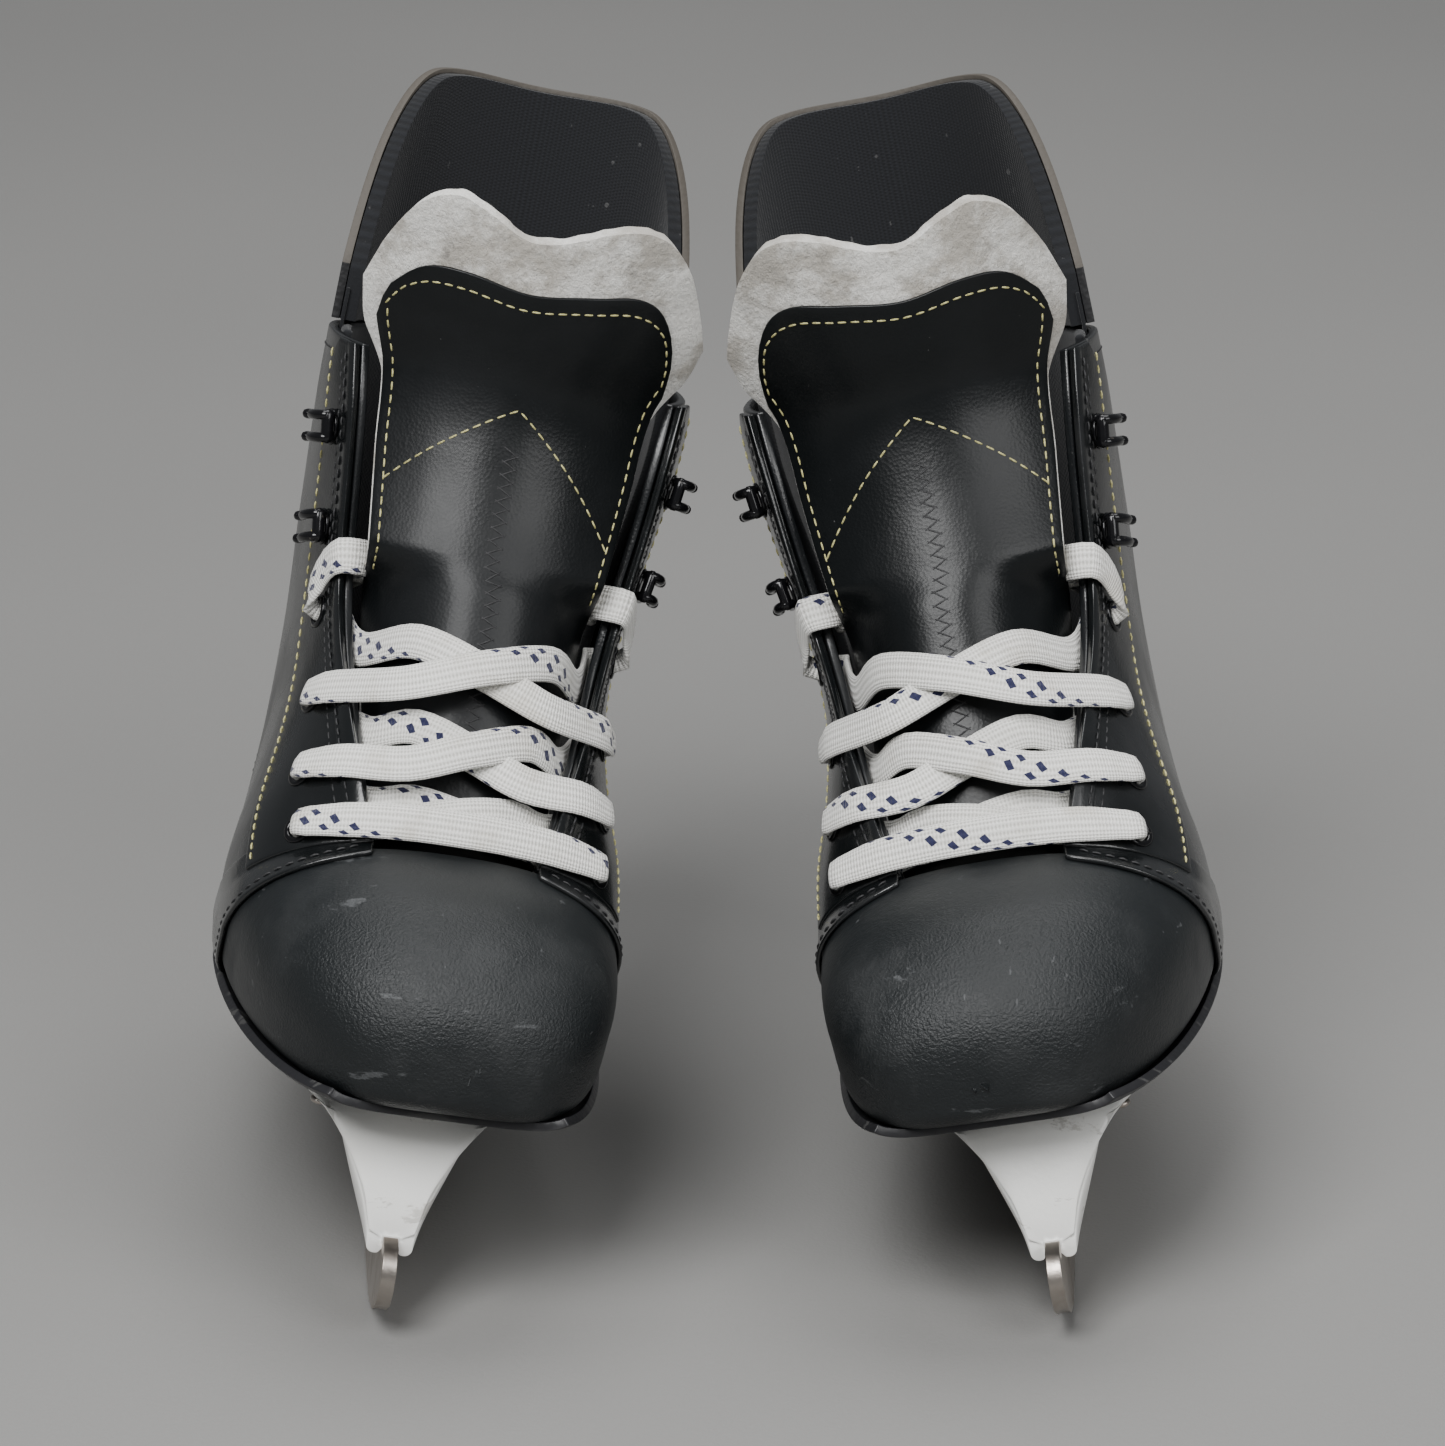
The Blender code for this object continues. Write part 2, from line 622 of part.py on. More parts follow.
def lace_route():
    """The lace's points from one tail to the other: a bar over both eyestays at the toe, strands that
    pass under it and up through the next eyelets, and two tails that lie on the footbed."""
    over = EYESTAY_OUT + LACE_RADIUS + GAP
    under = SHELL + LACE_RADIUS + 2.5 * GAP

    def at(t, hand, beyond, above):
        return on_upper(t, hand * edge_angle(t, beyond), above)[0]

    def through(row, hand):
        """Up through an eyelet and over the eyestay's edge, climbing on the way at the last row."""
        t = EYELET_ROWS[row]
        climb = TAIL_CLIMB if row == 3 else 0
        rise = ((0, 0.2, -under - 0.3), (0, 0, -0.6), (0.1, -0.2, over + 0.6), (0.5, -3.5, over + 0.9))
        points = []
        for share, beyond, above in rise:
            here = t + climb * share
            points.append(on_upper(here, hand * eyelet_angle(here, beyond), above)[0])
        return points + [at(t + climb * 0.85, hand, 2, over + 0.5)]

    def across(start, end, hand, heights):
        """From one eyestay to the other, over or under the strand that it meets in the middle."""
        points = []
        for share, above in zip((0.5, 0.001, -0.5), heights):
            t = start + (end - start) * (0.5 - share)
            points.append(on_upper(t, hand * share * edge_angle(t), above)[0])
        return points

    half = {}
    for hand in (-1, 1):
        first = EYELET_ROWS[0]
        route = [on_upper(first, 0.001, over + 0.4)[0]] if hand < 0 else []
        route += [on_upper(first, hand * 0.5 * edge_angle(first), over + 0.4)[0], *reversed(through(0, hand))]
        route += [at(first + 0.02, hand, 0, -under)]
        route += across(first + 0.02, EYELET_ROWS[1] - 0.07, hand, CROSS_UNDER_BAR[hand])
        for row in (1, 2, 3):
            hand = -hand
            t = EYELET_ROWS[row]
            route += [at(t - 0.07, hand, 1, -under), *through(row, hand)]
            if row < 3:
                route += across(t, EYELET_ROWS[row + 1] - 0.07, hand, CROSS_IN_GAP[hand])
        route += [at(t + TAIL_CLIMB, hand, beyond, -depth) for beyond, depth in TAIL_DROP]
        route += [Vector((hand * x, y, sole_height(y) + TAIL_HEIGHT)) for x, y in TAIL_ON_FOOTBED]
        half[hand] = route
    return list(reversed(half[1])) + half[-1]


def add_lace(skate):
    """One lace, as a round cord on the middle line of the real flat one."""
    route = lace_route()
    smooth = []
    for i in range(len(route) - 1):
        a, b = route[i], route[i + 1]
        before, after = route[max(i - 1, 0)], route[min(i + 2, len(route) - 1)]
        steps = max(1, round((b - a).length / LACE_STEP))
        for k in range(steps):
            f = k / steps
            pull = (b - before) * 0.5
            push = (after - a) * 0.5
            blend = (2 * f**3 - 3 * f**2 + 1) * a + (3 * f**2 - 2 * f**3) * b
            smooth.append(blend + (f**3 - 2 * f**2 + f) * pull + (f**3 - f**2) * push)
    smooth.append(route[-1])
    curve = bpy.data.curves.new("lace", "CURVE")
    curve.dimensions = "3D"
    curve.bevel_depth = LACE_RADIUS * MM
    curve.bevel_resolution = 2
    curve.use_fill_caps = True
    spline = curve.splines.new("POLY")
    spline.points.add(len(smooth) - 1)
    for point, place in zip(spline.points, map(bent, smooth)):
        point.co = (*(Vector((place.x * skate.mirror, place.y, place.z)) * MM), 1)
    curve.materials.append(skate.materials["lace"])
    lace = bpy.data.objects.new(f"{skate.side}_lace", curve)
    bpy.context.scene.collection.objects.link(lace)
    lace.parent = skate.stand


def main():
    for old in list(bpy.data.objects):
        bpy.data.objects.remove(old)
    materials = {
        "steel": make_material("runner_steel", (0.42, 0.38, 0.35), 0.3, 1.0),
        "holder": make_material("holder_plastic", (0.8, 0.8, 0.77), 0.35),
        "sole": make_material("outsole_composite", (0.02, 0.02, 0.022), 0.5),
        "toe_cap": make_material("toe_cap_rubber", (0.02, 0.022, 0.024), 0.55),
        "quarter": make_material("quarter_synthetic", (0.012, 0.012, 0.014), 0.3),
        "eyestay": make_material("eyestay_synthetic", (0.01, 0.01, 0.012), 0.28),
        "hook": make_material("hook_enamel", (0.008, 0.008, 0.009), 0.25, 0.4),
        "lining": make_material("knit_lining", (0.008, 0.009, 0.012), 0.95),
        "guard": make_material("guard_plastic", (0.015, 0.015, 0.016), 0.45),
        "footbed": make_material("footbed_foam", (0.03, 0.03, 0.035), 0.9),
        "facing": make_material("tongue_facing", (0.008, 0.008, 0.009), 0.3),
        "felt": make_material("tongue_felt", (0.72, 0.69, 0.64), 0.95),
        "lace": make_material("lace_cotton", (0.85, 0.85, 0.83), 0.9),
    }
    for side in STANCE:
        skate = Skate(side, materials)
        add_runner(skate)
        add_holder(skate)
        add_sole(skate)
        add_toe_cap(skate)
        add_quarter(skate, "lateral", -1)
        add_quarter(skate, "medial", 1)
        add_liner(skate)
        add_tongue(skate)
        add_tendon_guard(skate)
        add_lace(skate)


main()
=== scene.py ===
"""The looks of a pair of junior hockey skates: lasted boots, laces, holders and steel, piece by piece.

Shapes are worked out in each skate's own frame, in millimetres: the origin lies on the ice under the
middle of the runner, the toe points to -Y and +Z is up. The left skate is the right one's mirror.
"""

import math

import bmesh
import bpy
from mathutils import Matrix, Vector, noise


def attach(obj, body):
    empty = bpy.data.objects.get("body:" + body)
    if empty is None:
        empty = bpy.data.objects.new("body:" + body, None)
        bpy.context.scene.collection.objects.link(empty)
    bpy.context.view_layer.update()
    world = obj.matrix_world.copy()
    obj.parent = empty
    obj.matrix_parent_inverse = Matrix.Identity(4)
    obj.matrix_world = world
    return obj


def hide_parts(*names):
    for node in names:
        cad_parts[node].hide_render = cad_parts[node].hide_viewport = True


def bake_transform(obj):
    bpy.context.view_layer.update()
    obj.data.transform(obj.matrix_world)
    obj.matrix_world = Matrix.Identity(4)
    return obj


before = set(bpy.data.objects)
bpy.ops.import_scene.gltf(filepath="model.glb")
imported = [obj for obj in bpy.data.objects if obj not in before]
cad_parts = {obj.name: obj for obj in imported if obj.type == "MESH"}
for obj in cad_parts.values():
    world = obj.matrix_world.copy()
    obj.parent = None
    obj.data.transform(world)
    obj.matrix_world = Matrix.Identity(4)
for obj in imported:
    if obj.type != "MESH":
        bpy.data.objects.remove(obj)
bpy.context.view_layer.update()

# --- Camera ---------------------------------------------------------------------------------------
# It stands in front of the toes and looks a little down on them, turned by half a degree.
camera_distance = 1.44913
camera_elevation = math.radians(19.4)
camera_turn = math.radians(0.56)
aim = Vector((0.001, 0, 0.1098))
sensor_width = 36.0
focal_share = 6040 / 1445  # focal length over the width of the frame

back = Vector((0, -math.cos(camera_elevation), math.sin(camera_elevation)))
bpy.ops.object.select_all(action="DESELECT")
bpy.ops.object.camera_add()
camera = bpy.context.object
camera.data.sensor_width = sensor_width
camera.data.lens = sensor_width * focal_share
camera.data.clip_start = 0.05
camera.data.clip_end = 20
level = Matrix.Rotation(math.pi / 2 - camera_elevation, 4, "X")
turned = level @ Matrix.Rotation(camera_turn, 4, "Z")
camera.matrix_world = Matrix.Translation(aim + back * camera_distance) @ turned
bpy.context.scene.camera = camera

# --- Laces ----------------------------------------------------------------------------------------
# A flat lace woven as a flattened tube, white, with two navy tracer yarns that wind round it. A bar
# lies over the toe end, the ends cross under it and lace up to the fourth eyelets, and the tails go
# down inside the boot. The lace lies over the boot's form, so the form is set out here first.
MM = 0.001
GAP = 0.3
STANCE = {
    "right": {"mirror": 1, "place": (-85.5, -0.5), "lean": 9.3, "toe_in": 4.5},
    "left": {"mirror": -1, "place": (87.1, 1.0), "lean": 10.6, "toe_in": 3.0},
}
HANDS = {"lateral": -1, "medial": 1}
RUNNER_HALF = 1.7
BEND_FROM, BEND_RISE, BEND = 52.0, 120.0, math.radians(3.0)
NOSE, THROAT, SEAM = (-118.0, 68.0), (-62.0, 100.0), (-22.0, 50.0)
TOE_SHIFT, THROAT_SHIFT = 9.0, 4.0
# Behind the toe cap's seam: share, top point (y, z), keel point (y, z) round sole, heel and back.
SPINE = [
    (0.00, -62, 100, -22, 50),
    (0.15, -55, 112, 15, 51),
    (0.30, -46, 127, 55, 53),
    (0.42, -38, 139, 93, 56),
    (0.50, -33, 147, 109, 66),
    (0.60, -27, 157, 114, 88),
    (0.75, -18, 172, 112, 120),
    (0.90, -10, 188, 106, 155),
    (1.00, -4, 198, 103, 178),
]
# Share, half width, share of the height below the widest place, roundness above and below it.
GIRTH = [
    (0.00, 45.5, 0.42, 2.3, 5.0),
    (0.15, 45, 0.40, 2.3, 5.0),
    (0.30, 41, 0.42, 2.3, 4.6),
    (0.42, 38.5, 0.46, 2.4, 3.2),
    (0.50, 38, 0.48, 2.4, 2.5),
    (0.60, 38.5, 0.48, 2.4, 2.3),
    (0.75, 41, 0.46, 2.5, 2.2),
    (0.90, 43.5, 0.45, 2.5, 2.2),
    (1.00, 44, 0.45, 2.5, 2.2),
]
THROAT_GAP = [(0.0, 19), (0.5, 30.5), (1.0, 38)]
EYELET_ROWS = (0.06, 0.20, 0.36, 0.53)
EYELET_IN = [(0.0, 17), (0.2, 14.5), (0.5, 10.5), (1.0, 8)]
EYESTAY_OUT = 2.0
QUARTER_THICK = 2.2


def curve_through(keys, at):
    """The values at one place of a smooth curve through (place, *values) keys."""
    index = min(max(sum(key[0] <= at for key in keys) - 1, 0), len(keys) - 2)
    here, there = keys[index], keys[index + 1]
    before, after = keys[max(index - 1, 0)], keys[min(index + 2, len(keys) - 1)]
    span = there[0] - here[0]
    f = min(max((at - here[0]) / span, 0), 1)
    values = []
    for k in range(1, len(here)):
        leave = (there[k] - before[k]) / (there[0] - before[0]) * span
        arrive = (after[k] - here[k]) / (after[0] - here[0]) * span
        start, end = (2 * f**3 - 3 * f**2 + 1) * here[k], (3 * f**2 - 2 * f**3) * there[k]
        values.append(start + (f**3 - 2 * f**2 + f) * leave + end + (f**3 - f**2) * arrive)
    return values


def section(t):
    """The boot's section at t, from -1 at the nose over 0 at the toe cap's seam to 1 at the collar."""
    if t >= 0:
        top_y, top_z, keel_y, keel_z = curve_through(SPINE, t)
        return Vector((0, top_y, top_z)), Vector((0, keel_y, keel_z)), *curve_through(GIRTH, t), 0, 0
    turn = (1 + t) * math.pi / 2
    ahead, rise = math.cos(turn), math.sin(turn)
    top_y = THROAT[0] + (NOSE[0] - THROAT[0]) * ahead**0.9
    top_z = NOSE[1] + (THROAT[1] - NOSE[1]) * rise**0.8
    keel_y = SEAM[0] + (NOSE[0] - SEAM[0]) * ahead
    keel_z = NOSE[1] - (NOSE[1] - SEAM[1]) * rise**0.4
    _, half, widest, above, below = GIRTH[0]
    half, shift = half * rise**0.65, TOE_SHIFT * ahead**1.5
    return Vector((0, top_y, top_z)), Vector((0, keel_y, keel_z)), half, widest, above, below, shift, ahead


def skin(t, angle, inset=0.0):
    """A point of the boot's form, inset from its outer face. The angle runs from 0 at the top to pi at
    the keel, and is negative on the outer side."""
    top, keel, half, widest, above, below, shift, ahead = section(t)
    along = (keel - top).normalized() if (keel - top).length else Vector((0, 0, -1))
    depth = inset * (1 - ahead) ** 0.5
    top = top + along * depth + Vector((0, inset * ahead, 0))
    keel = keel - along * depth + Vector((0, inset * ahead, 0))
    height = (keel - top).length
    half = max(half - inset, 0.4)
    turn = min(abs(angle), math.pi)
    roundness = above if turn <= math.pi / 2 else below
    reach = math.sin(turn) ** (2 / roundness) if 0 < turn < math.pi else 0
    level = abs(math.cos(turn)) ** (2 / roundness)
    drop = height * (1 - widest)
    drop = drop - drop * level if turn <= math.pi / 2 else drop + (height - drop) * level
    point = top + along * drop
    if -1 < t < 1:
        shift += THROAT_SHIFT * max(math.cos(turn), 0) * (1 - abs(t))
    return Vector((shift + math.copysign(half * reach, angle), point.y, point.z))


def edge_angle(t, beyond=0.0):
    """The angle at the throat's edge, or as many millimetres past it towards the sole."""
    t = max(t, 0)
    _, _, half, _, above, _, _, _ = section(t)
    angle = math.asin(min(curve_through(THROAT_GAP, t)[0] / half, 0.99) ** (above / 2))
    step = 0.02
    return angle + beyond * step / (skin(t, angle + step) - skin(t, angle)).length


def eyelet_angle(t, beyond=0.0):
    return edge_angle(t, curve_through(EYELET_IN, t)[0] + beyond)


def on_upper(t, angle, above=0.0):
    """A place over the form, with the directions out of it, away from the throat, and up along it."""
    step = 0.01
    at = skin(t, angle)
    away = (skin(t, angle + math.copysign(step, angle)) - at).normalized()
    up = (skin(t + step, angle) - skin(t - step, angle)).normalized()
    normal = away.cross(up).normalized()
    if normal.dot(at - skin(t, angle, 1.0)) < 0:
        normal = -normal
    up = (up - away * up.dot(away)).normalized()
    return at + normal * above, normal, away, up


def sole_height(y):
    """The height of the form's underside at one place along the sole."""
    keels = [section(-0.8 + 1.26 * i / 59)[1] for i in range(60)]
    nearest = min(range(59), key=lambda i: abs(keels[i].y + keels[i + 1].y - 2 * y))
    a, b = keels[nearest], keels[nearest + 1]
    return a.z + (b.z - a.z) * (y - a.y) / (b.y - a.y)


def bent(point):
    """The point once the upper is bent inwards over its sole."""
    height = point.z - BEND_FROM
    if height <= 0:
        return point.copy()
    share = min(height / BEND_RISE, 1)
    turn = BEND * share * share * (3 - 2 * share)
    across = point.x * math.cos(turn) + height * math.sin(turn)
    return Vector((across, point.y, BEND_FROM + height * math.cos(turn) - point.x * math.sin(turn)))


def stand_matrix(side):
    stance = STANCE[side]
    lean, toe_in, mirror = math.radians(stance["lean"]), math.radians(stance["toe_in"]), stance["mirror"]
    place = Vector((*stance["place"], RUNNER_HALF * math.sin(lean))) * MM
    turn = Matrix.Rotation(mirror * toe_in, 4, "Z") @ Matrix.Rotation(mirror * lean, 4, "Y")
    return Matrix.Translation(place) @ turn


STANDS = {side: stand_matrix(side) for side in STANCE}


def stand(side, point):
    """A point of a skate's own frame, in the room, in metres."""
    at = bent(point) * MM
    at.x *= STANCE[side]["mirror"]
    return STANDS[side] @ at


class Tone:
    """One value of a finish. Sums, products and the like of tones add their own Math nodes."""

    def __init__(self, finish, socket):
        self.finish, self.socket = finish, socket

    def math(self, operation, *values):
        return self.finish.node("ShaderNodeMath", {"operation": operation}, values)

    def __add__(self, other):
        return self.math("ADD", self, other)

    def __sub__(self, other):
        return self.math("SUBTRACT", self, other)

    def __rsub__(self, other):
        return self.math("SUBTRACT", other, self)

    def __mul__(self, other):
        return self.math("MULTIPLY", self, other)

    def __truediv__(self, other):
        return self.math("DIVIDE", self, other)

    def __lt__(self, other):
        return self.math("LESS_THAN", self, other)

    __radd__, __rmul__ = __add__, __mul__

    def sine(self):
        return self.math("SINE", self)

    def fraction(self):
        return self.math("FRACT", self)

    def size(self):
        return self.math("ABSOLUTE", self)

    def between(self, low, high):
        """0 below low, 1 above high, and smooth between them."""
        settings = {"interpolation_type": "SMOOTHSTEP"}
        return self.finish.node("ShaderNodeMapRange", settings, {0: self, 1: low, 2: high})


class Finish:
    """A material, and the nodes that vary it over a surface."""

    def __init__(self, name, colour, roughness, **sockets):
        self.material = bpy.data.materials.new(name)
        self.material.use_nodes = True
        self.tree = self.material.node_tree
        self.shader = self.tree.nodes["Principled BSDF"]
        self.put({"Base Color": (*colour, 1), "Roughness": roughness, **sockets})
        self.uses = {}

    def put(self, values, node=None):
        node = node or self.shader
        for name, value in values.items():
            if isinstance(value, Tone):
                self.tree.links.new(value.socket, node.inputs[name])
            elif value is not None:
                node.inputs[name].default_value = value

    def node(self, kind, settings=None, values=(), out=0):
        """Adds a node: its settings first, then the values or links of its sockets."""
        node = self.tree.nodes.new(kind)
        for name, value in (settings or {}).items():
            if name == "stops":
                while len(node.color_ramp.elements) < len(value):
                    node.color_ramp.elements.new(0.5)
                for element, (place, colour) in zip(node.color_ramp.elements, value):
                    element.position, element.color = place, (*colour, 1)
            else:
                setattr(node, name, value)
        self.put(values if isinstance(values, dict) else dict(enumerate(values)), node)
        return Tone(self, node.outputs[out])

    def place(self, scale=(1, 1, 1), kind="Object"):
        """Where a point lies, in metres or on the piece's own UV map, stretched by a scale."""
        if kind not in self.uses:
            self.uses[kind] = self.node("ShaderNodeTexCoord", out={"Object": 3, "UV": 2}[kind])
        return self.node("ShaderNodeMapping", None, {0: self.uses[kind], 3: scale})

    def axes(self, kind="Object"):
        """The three coordinates of a point as tones."""
        split = self.tree.nodes.new("ShaderNodeSeparateXYZ")
        self.tree.links.new(self.place(kind=kind).socket, split.inputs[0])
        return [Tone(self, socket) for socket in split.outputs]

    def clouds(self, scale, detail=3.0, stretch=(1, 1, 1), roughness=0.55):
        values = {0: self.place(stretch), "Scale": scale, "Detail": detail, "Roughness": roughness}
        return self.node("ShaderNodeTexNoise", None, values)

    def cells(self, scale):
        return self.node("ShaderNodeTexVoronoi", None, {0: self.place(), "Scale": scale})

    def mix(self, share, one, other):
        """One colour where the share is 0, the other where it is 1."""
        colours = [value if isinstance(value, Tone) else (*value, 1) for value in (one, other)]
        settings = {"data_type": "RGBA"}
        return self.node("ShaderNodeMix", settings, {0: share, 6: colours[0], 7: colours[1]}, out=2)

    def colour(self, share, one, other):
        self.put({"Base Color": self.mix(share, one, other)})

    def roughness(self, value):
        self.put({"Roughness": value})

    def relief(self, height, depth, strength=1.0):
        """Bumps of a depth in metres."""
        values = {"Height": height, "Distance": depth, "Strength": strength}
        self.put({"Normal": self.node("ShaderNodeBump", None, values)})
        return self.material


LACE_WIDTH, LACE_THICK = 8.6, 1.5
LACE_ROUND = 1.2  # radius of the plain cord whose middle line the lace follows
TRACER_LEAD = 78.0  # length over which a tracer winds once round the lace
TRACER_PITCH = 5.0
LACE_STEP = 3.0
CROSS_UNDER_BAR = {-1: (-3.2, -1.2, -3.4), 1: (-4.2, -4.2, -4.0)}
CROSS_IN_GAP = {-1: (2.8, 1.4, -2.0), 1: (0.6, -2.6, -3.8)}
CROSS_SHORT = 0.07  # how far short of the next eyelets a crossing goes under the throat's edge
TAIL_CLIMB = 0.09  # how far up the throat a tail climbs on its way over the edge
TAIL_DROP = [
    (-3.4, -3.6), (-4.8, 0.6), (-1.5, 4.7), (6, 4.8), (11, 5.6), (14, 10.0), (24, 10.5), (38, 9.5), (54, 9.0),
]
TAIL_ON_FOOTBED = [(22, 44), (23, 10), (19, -24), (11, -42), (5, -28), (5, 6), (7, 40), (9, 66)]
TAIL_HEIGHT = 12.0


def lace_finish():
    finish = Finish("lace_cotton", (0.8, 0.79, 0.75), 0.92, **{"Sheen Weight": 0.25, "Sheen Roughness": 0.6})
    along, around, _ = finish.axes("UV")
    # U is the length in centimetres and V is 0 to 1 round the tube.
    length = along * 10.0
    girth = 2 * (LACE_WIDTH + LACE_THICK)
    position = around * girth
    tracer = None
    for row in (0, 1):
        away = ((around - length / TRACER_LEAD - row * 2.1 / girth).fraction() - 0.5) * girth
        step = ((length / TRACER_PITCH + row / 2).fraction() - 0.5) * TRACER_PITCH
        diamond = (away.size() / 0.80 + step.size() / 1.45) < 1.0
        tracer = diamond if tracer is None else tracer + diamond
    strands = 2 * math.pi / 1.9
    weave = ((length * 1.1 + position) * strands).sine() * ((length * 1.1 - position) * strands).sine()
    grime = finish.clouds(60, 4).between(0.52, 0.72) * 0.5
    # Painted shade: the white is darkened to grey in the weave's low cells, where the same weave lowers the
    # bump.
    clean = finish.mix(weave.between(-1.0, 0.4), (0.58, 0.57, 0.53), (0.90, 0.89, 0.85))
    worn = finish.mix(grime, clean, (0.52, 0.48, 0.40))
    finish.colour(tracer, worn, (0.006, 0.008, 0.055))
    return finish.relief(weave * 0.5 + finish.clouds(2500, 2) * 0.6, 0.00035, 0.8)


def lace_route():
    """The lace's stations from one tail to the other: a place, the way its width lies, and how much
    of its width is left where it is pulled through an eyelet."""
    over = EYESTAY_OUT + LACE_ROUND + GAP
    under = QUARTER_THICK + LACE_ROUND + 2.5 * GAP

    def lying(t, hand, angle, above, width=1.0):
        place, _, _, up = on_upper(t, hand * angle, above)
        return place, up, width

    def through(row, hand):
        t = EYELET_ROWS[row]
        climb = TAIL_CLIMB if row == 3 else 0
        rise = (
            (0, 0.2, -under - 0.3, 0.7),
            (0, 0, -0.6, 0.58),
            (0.1, -0.2, over + 0.6, 0.66),
            (0.5, -3.5, over + 0.9, 0.9),
        )
        stations = []
        for share, beyond, above, width in rise:
            here = t + climb * share
            stations.append(lying(here, hand, eyelet_angle(here, beyond), above, width))
        return stations + [lying(t + climb * 0.85, hand, edge_angle(t + climb * 0.85, 2), over + 0.5)]

    def across(start, end, hand, heights):
        stations = []
        for share, above in zip((0.5, 0.001, -0.5), heights):
            t = start + (end - start) * (0.5 - share)
            stations.append(lying(t, hand, share * edge_angle(t), above))
        return stations

    half = {}
    for hand in (-1, 1):
        first = EYELET_ROWS[0]
        route = [lying(first, 1, 0.001, over + 0.4)] if hand < 0 else []
        route += [lying(first, hand, 0.5 * edge_angle(first), over + 0.4), *reversed(through(0, hand))]
        route += [lying(first + 0.02, hand, edge_angle(first + 0.02), -under)]
        route += across(first + 0.02, EYELET_ROWS[1] - CROSS_SHORT, hand, CROSS_UNDER_BAR[hand])
        for row in (1, 2, 3):
            hand = -hand
            t = EYELET_ROWS[row]
            below = t - CROSS_SHORT
            route += [lying(below, hand, edge_angle(below, 1), -under), *through(row, hand)]
            if row < 3:
                route += across(t, EYELET_ROWS[row + 1] - CROSS_SHORT, hand, CROSS_IN_GAP[hand])
        drop = t + TAIL_CLIMB
        route += [lying(drop, hand, edge_angle(drop, beyond), -depth) for beyond, depth in TAIL_DROP]
        floor = [Vector((hand * x, y, sole_height(y) + TAIL_HEIGHT)) for x, y in TAIL_ON_FOOTBED]
        for before, place, after in zip([floor[0]] + floor, floor, floor[1:] + [floor[-1]]):
            flat = (after - before).cross(Vector((0, 0, 1))).normalized()
            turned = flat if not route or flat.dot(route[-1][1]) > 0 else -flat
            route.append((place, turned, 1.0))
        half[hand] = route
    return list(reversed(half[1])) + half[-1]


def smooth_route(route, step):
    """The route's stations joined by a smooth line, with a station every few millimetres."""
    smooth = []
    for i in range(len(route) - 1):
        a, b = route[i], route[i + 1]
        before, after = route[max(i - 1, 0)], route[min(i + 2, len(route) - 1)]
        steps = max(2, round((b[0] - a[0]).length / step))
        for k in range(steps):
            f = k / steps
            start, end = 2 * f**3 - 3 * f**2 + 1, 3 * f**2 - 2 * f**3
            pull, push = (f**3 - 2 * f**2 + f) * 0.5, (f**3 - f**2) * 0.5
            place = start * a[0] + end * b[0] + pull * (b[0] - before[0]) + push * (after[0] - a[0])
            smooth.append((place, start * a[1] + end * b[1], start * a[2] + end * b[2]))
    return smooth + [route[-1]]


def skinned(bm, rings):
    """Joins rings of points with faces, and closes both ends."""
    count = len(rings[0])
    for here, there in zip(rings, rings[1:]):
        for k in range(count):
            m = (k + 1) % count
            bm.faces.new((here[k], here[m], there[m], there[k]))
    bm.faces.new(rings[0])
    bm.faces.new(rings[-1])


def close_mesh(name, bm, material):
    """Makes an object of a closed mesh whose points lie in the room already."""
    bmesh.ops.recalc_face_normals(bm, faces=bm.faces)
    if bm.calc_volume(signed=True) < 0:
        bmesh.ops.reverse_faces(bm, faces=bm.faces)
    mesh = bpy.data.meshes.new(name)
    bm.to_mesh(mesh)
    bm.free()
    mesh.shade_smooth()
    piece = bpy.data.objects.new(name, mesh)
    bpy.context.scene.collection.objects.link(piece)
    piece.data.materials.append(material)
    return piece


def woven_tube(name, side, stations, material):
    """A flattened tube along the stations, with its length and its turn as its UV map."""
    around = 20
    places = [stand(side, place) for place, _, _ in stations]
    bm = bmesh.new()
    uv = bm.loops.layers.uv.new("UVMap")
    rings, lengths, length = [], [], 0.0
    for i, (place, width_way, width) in enumerate(stations):
        ahead = (places[min(i + 1, len(places) - 1)] - places[max(i - 1, 0)]).normalized()
        hint = stand(side, place + width_way) - stand(side, place)
        across = (hint - ahead * hint.dot(ahead)).normalized()
        up = ahead.cross(across)
        length += (places[i] - places[i - 1]).length if i else 0
        lengths.append(length)
        ring = []
        for k in range(around):
            turn = 2 * math.pi * k / around
            x = math.copysign(abs(math.cos(turn)) ** 0.75, math.cos(turn)) * LACE_WIDTH / 2 * width
            z = math.copysign(abs(math.sin(turn)) ** 0.8, math.sin(turn)) * LACE_THICK / 2 * (2 - width)
            ring.append(bm.verts.new(places[i] + (across * x + up * z) * MM))
        rings.append(ring)
    skinned(bm, rings)
    bm.faces.ensure_lookup_table()
    for index in range((len(rings) - 1) * around):
        i, k = divmod(index, around)
        corners = ((i, k), (i, k + 1), (i + 1, k + 1), (i + 1, k))
        for loop, (row, column) in zip(bm.faces[index].loops, corners):
            loop[uv].uv = (lengths[row] / MM / 10, column / around)
    return close_mesh(name, bm, material), places, length


def fitted(piece, side, slot, *nodes, body="skate"):
    """Lets a piece ride on a body and stand for the CAD nodes named. Its slot is not used."""
    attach(piece, f"{side}_{body}")
    if nodes:
        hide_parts(*[f"{side}_{node}" for node in nodes])


lace_material = lace_finish()
for side in STANCE:
    route = smooth_route(lace_route(), LACE_STEP)
    lace, middle, length = woven_tube(f"{side}_woven_lace", side, route, lace_material)
    fitted(lace, side, "lace_cotton", "lace")
    start = middle[0]
    tuple(start)
    [tuple(point) for point in middle]

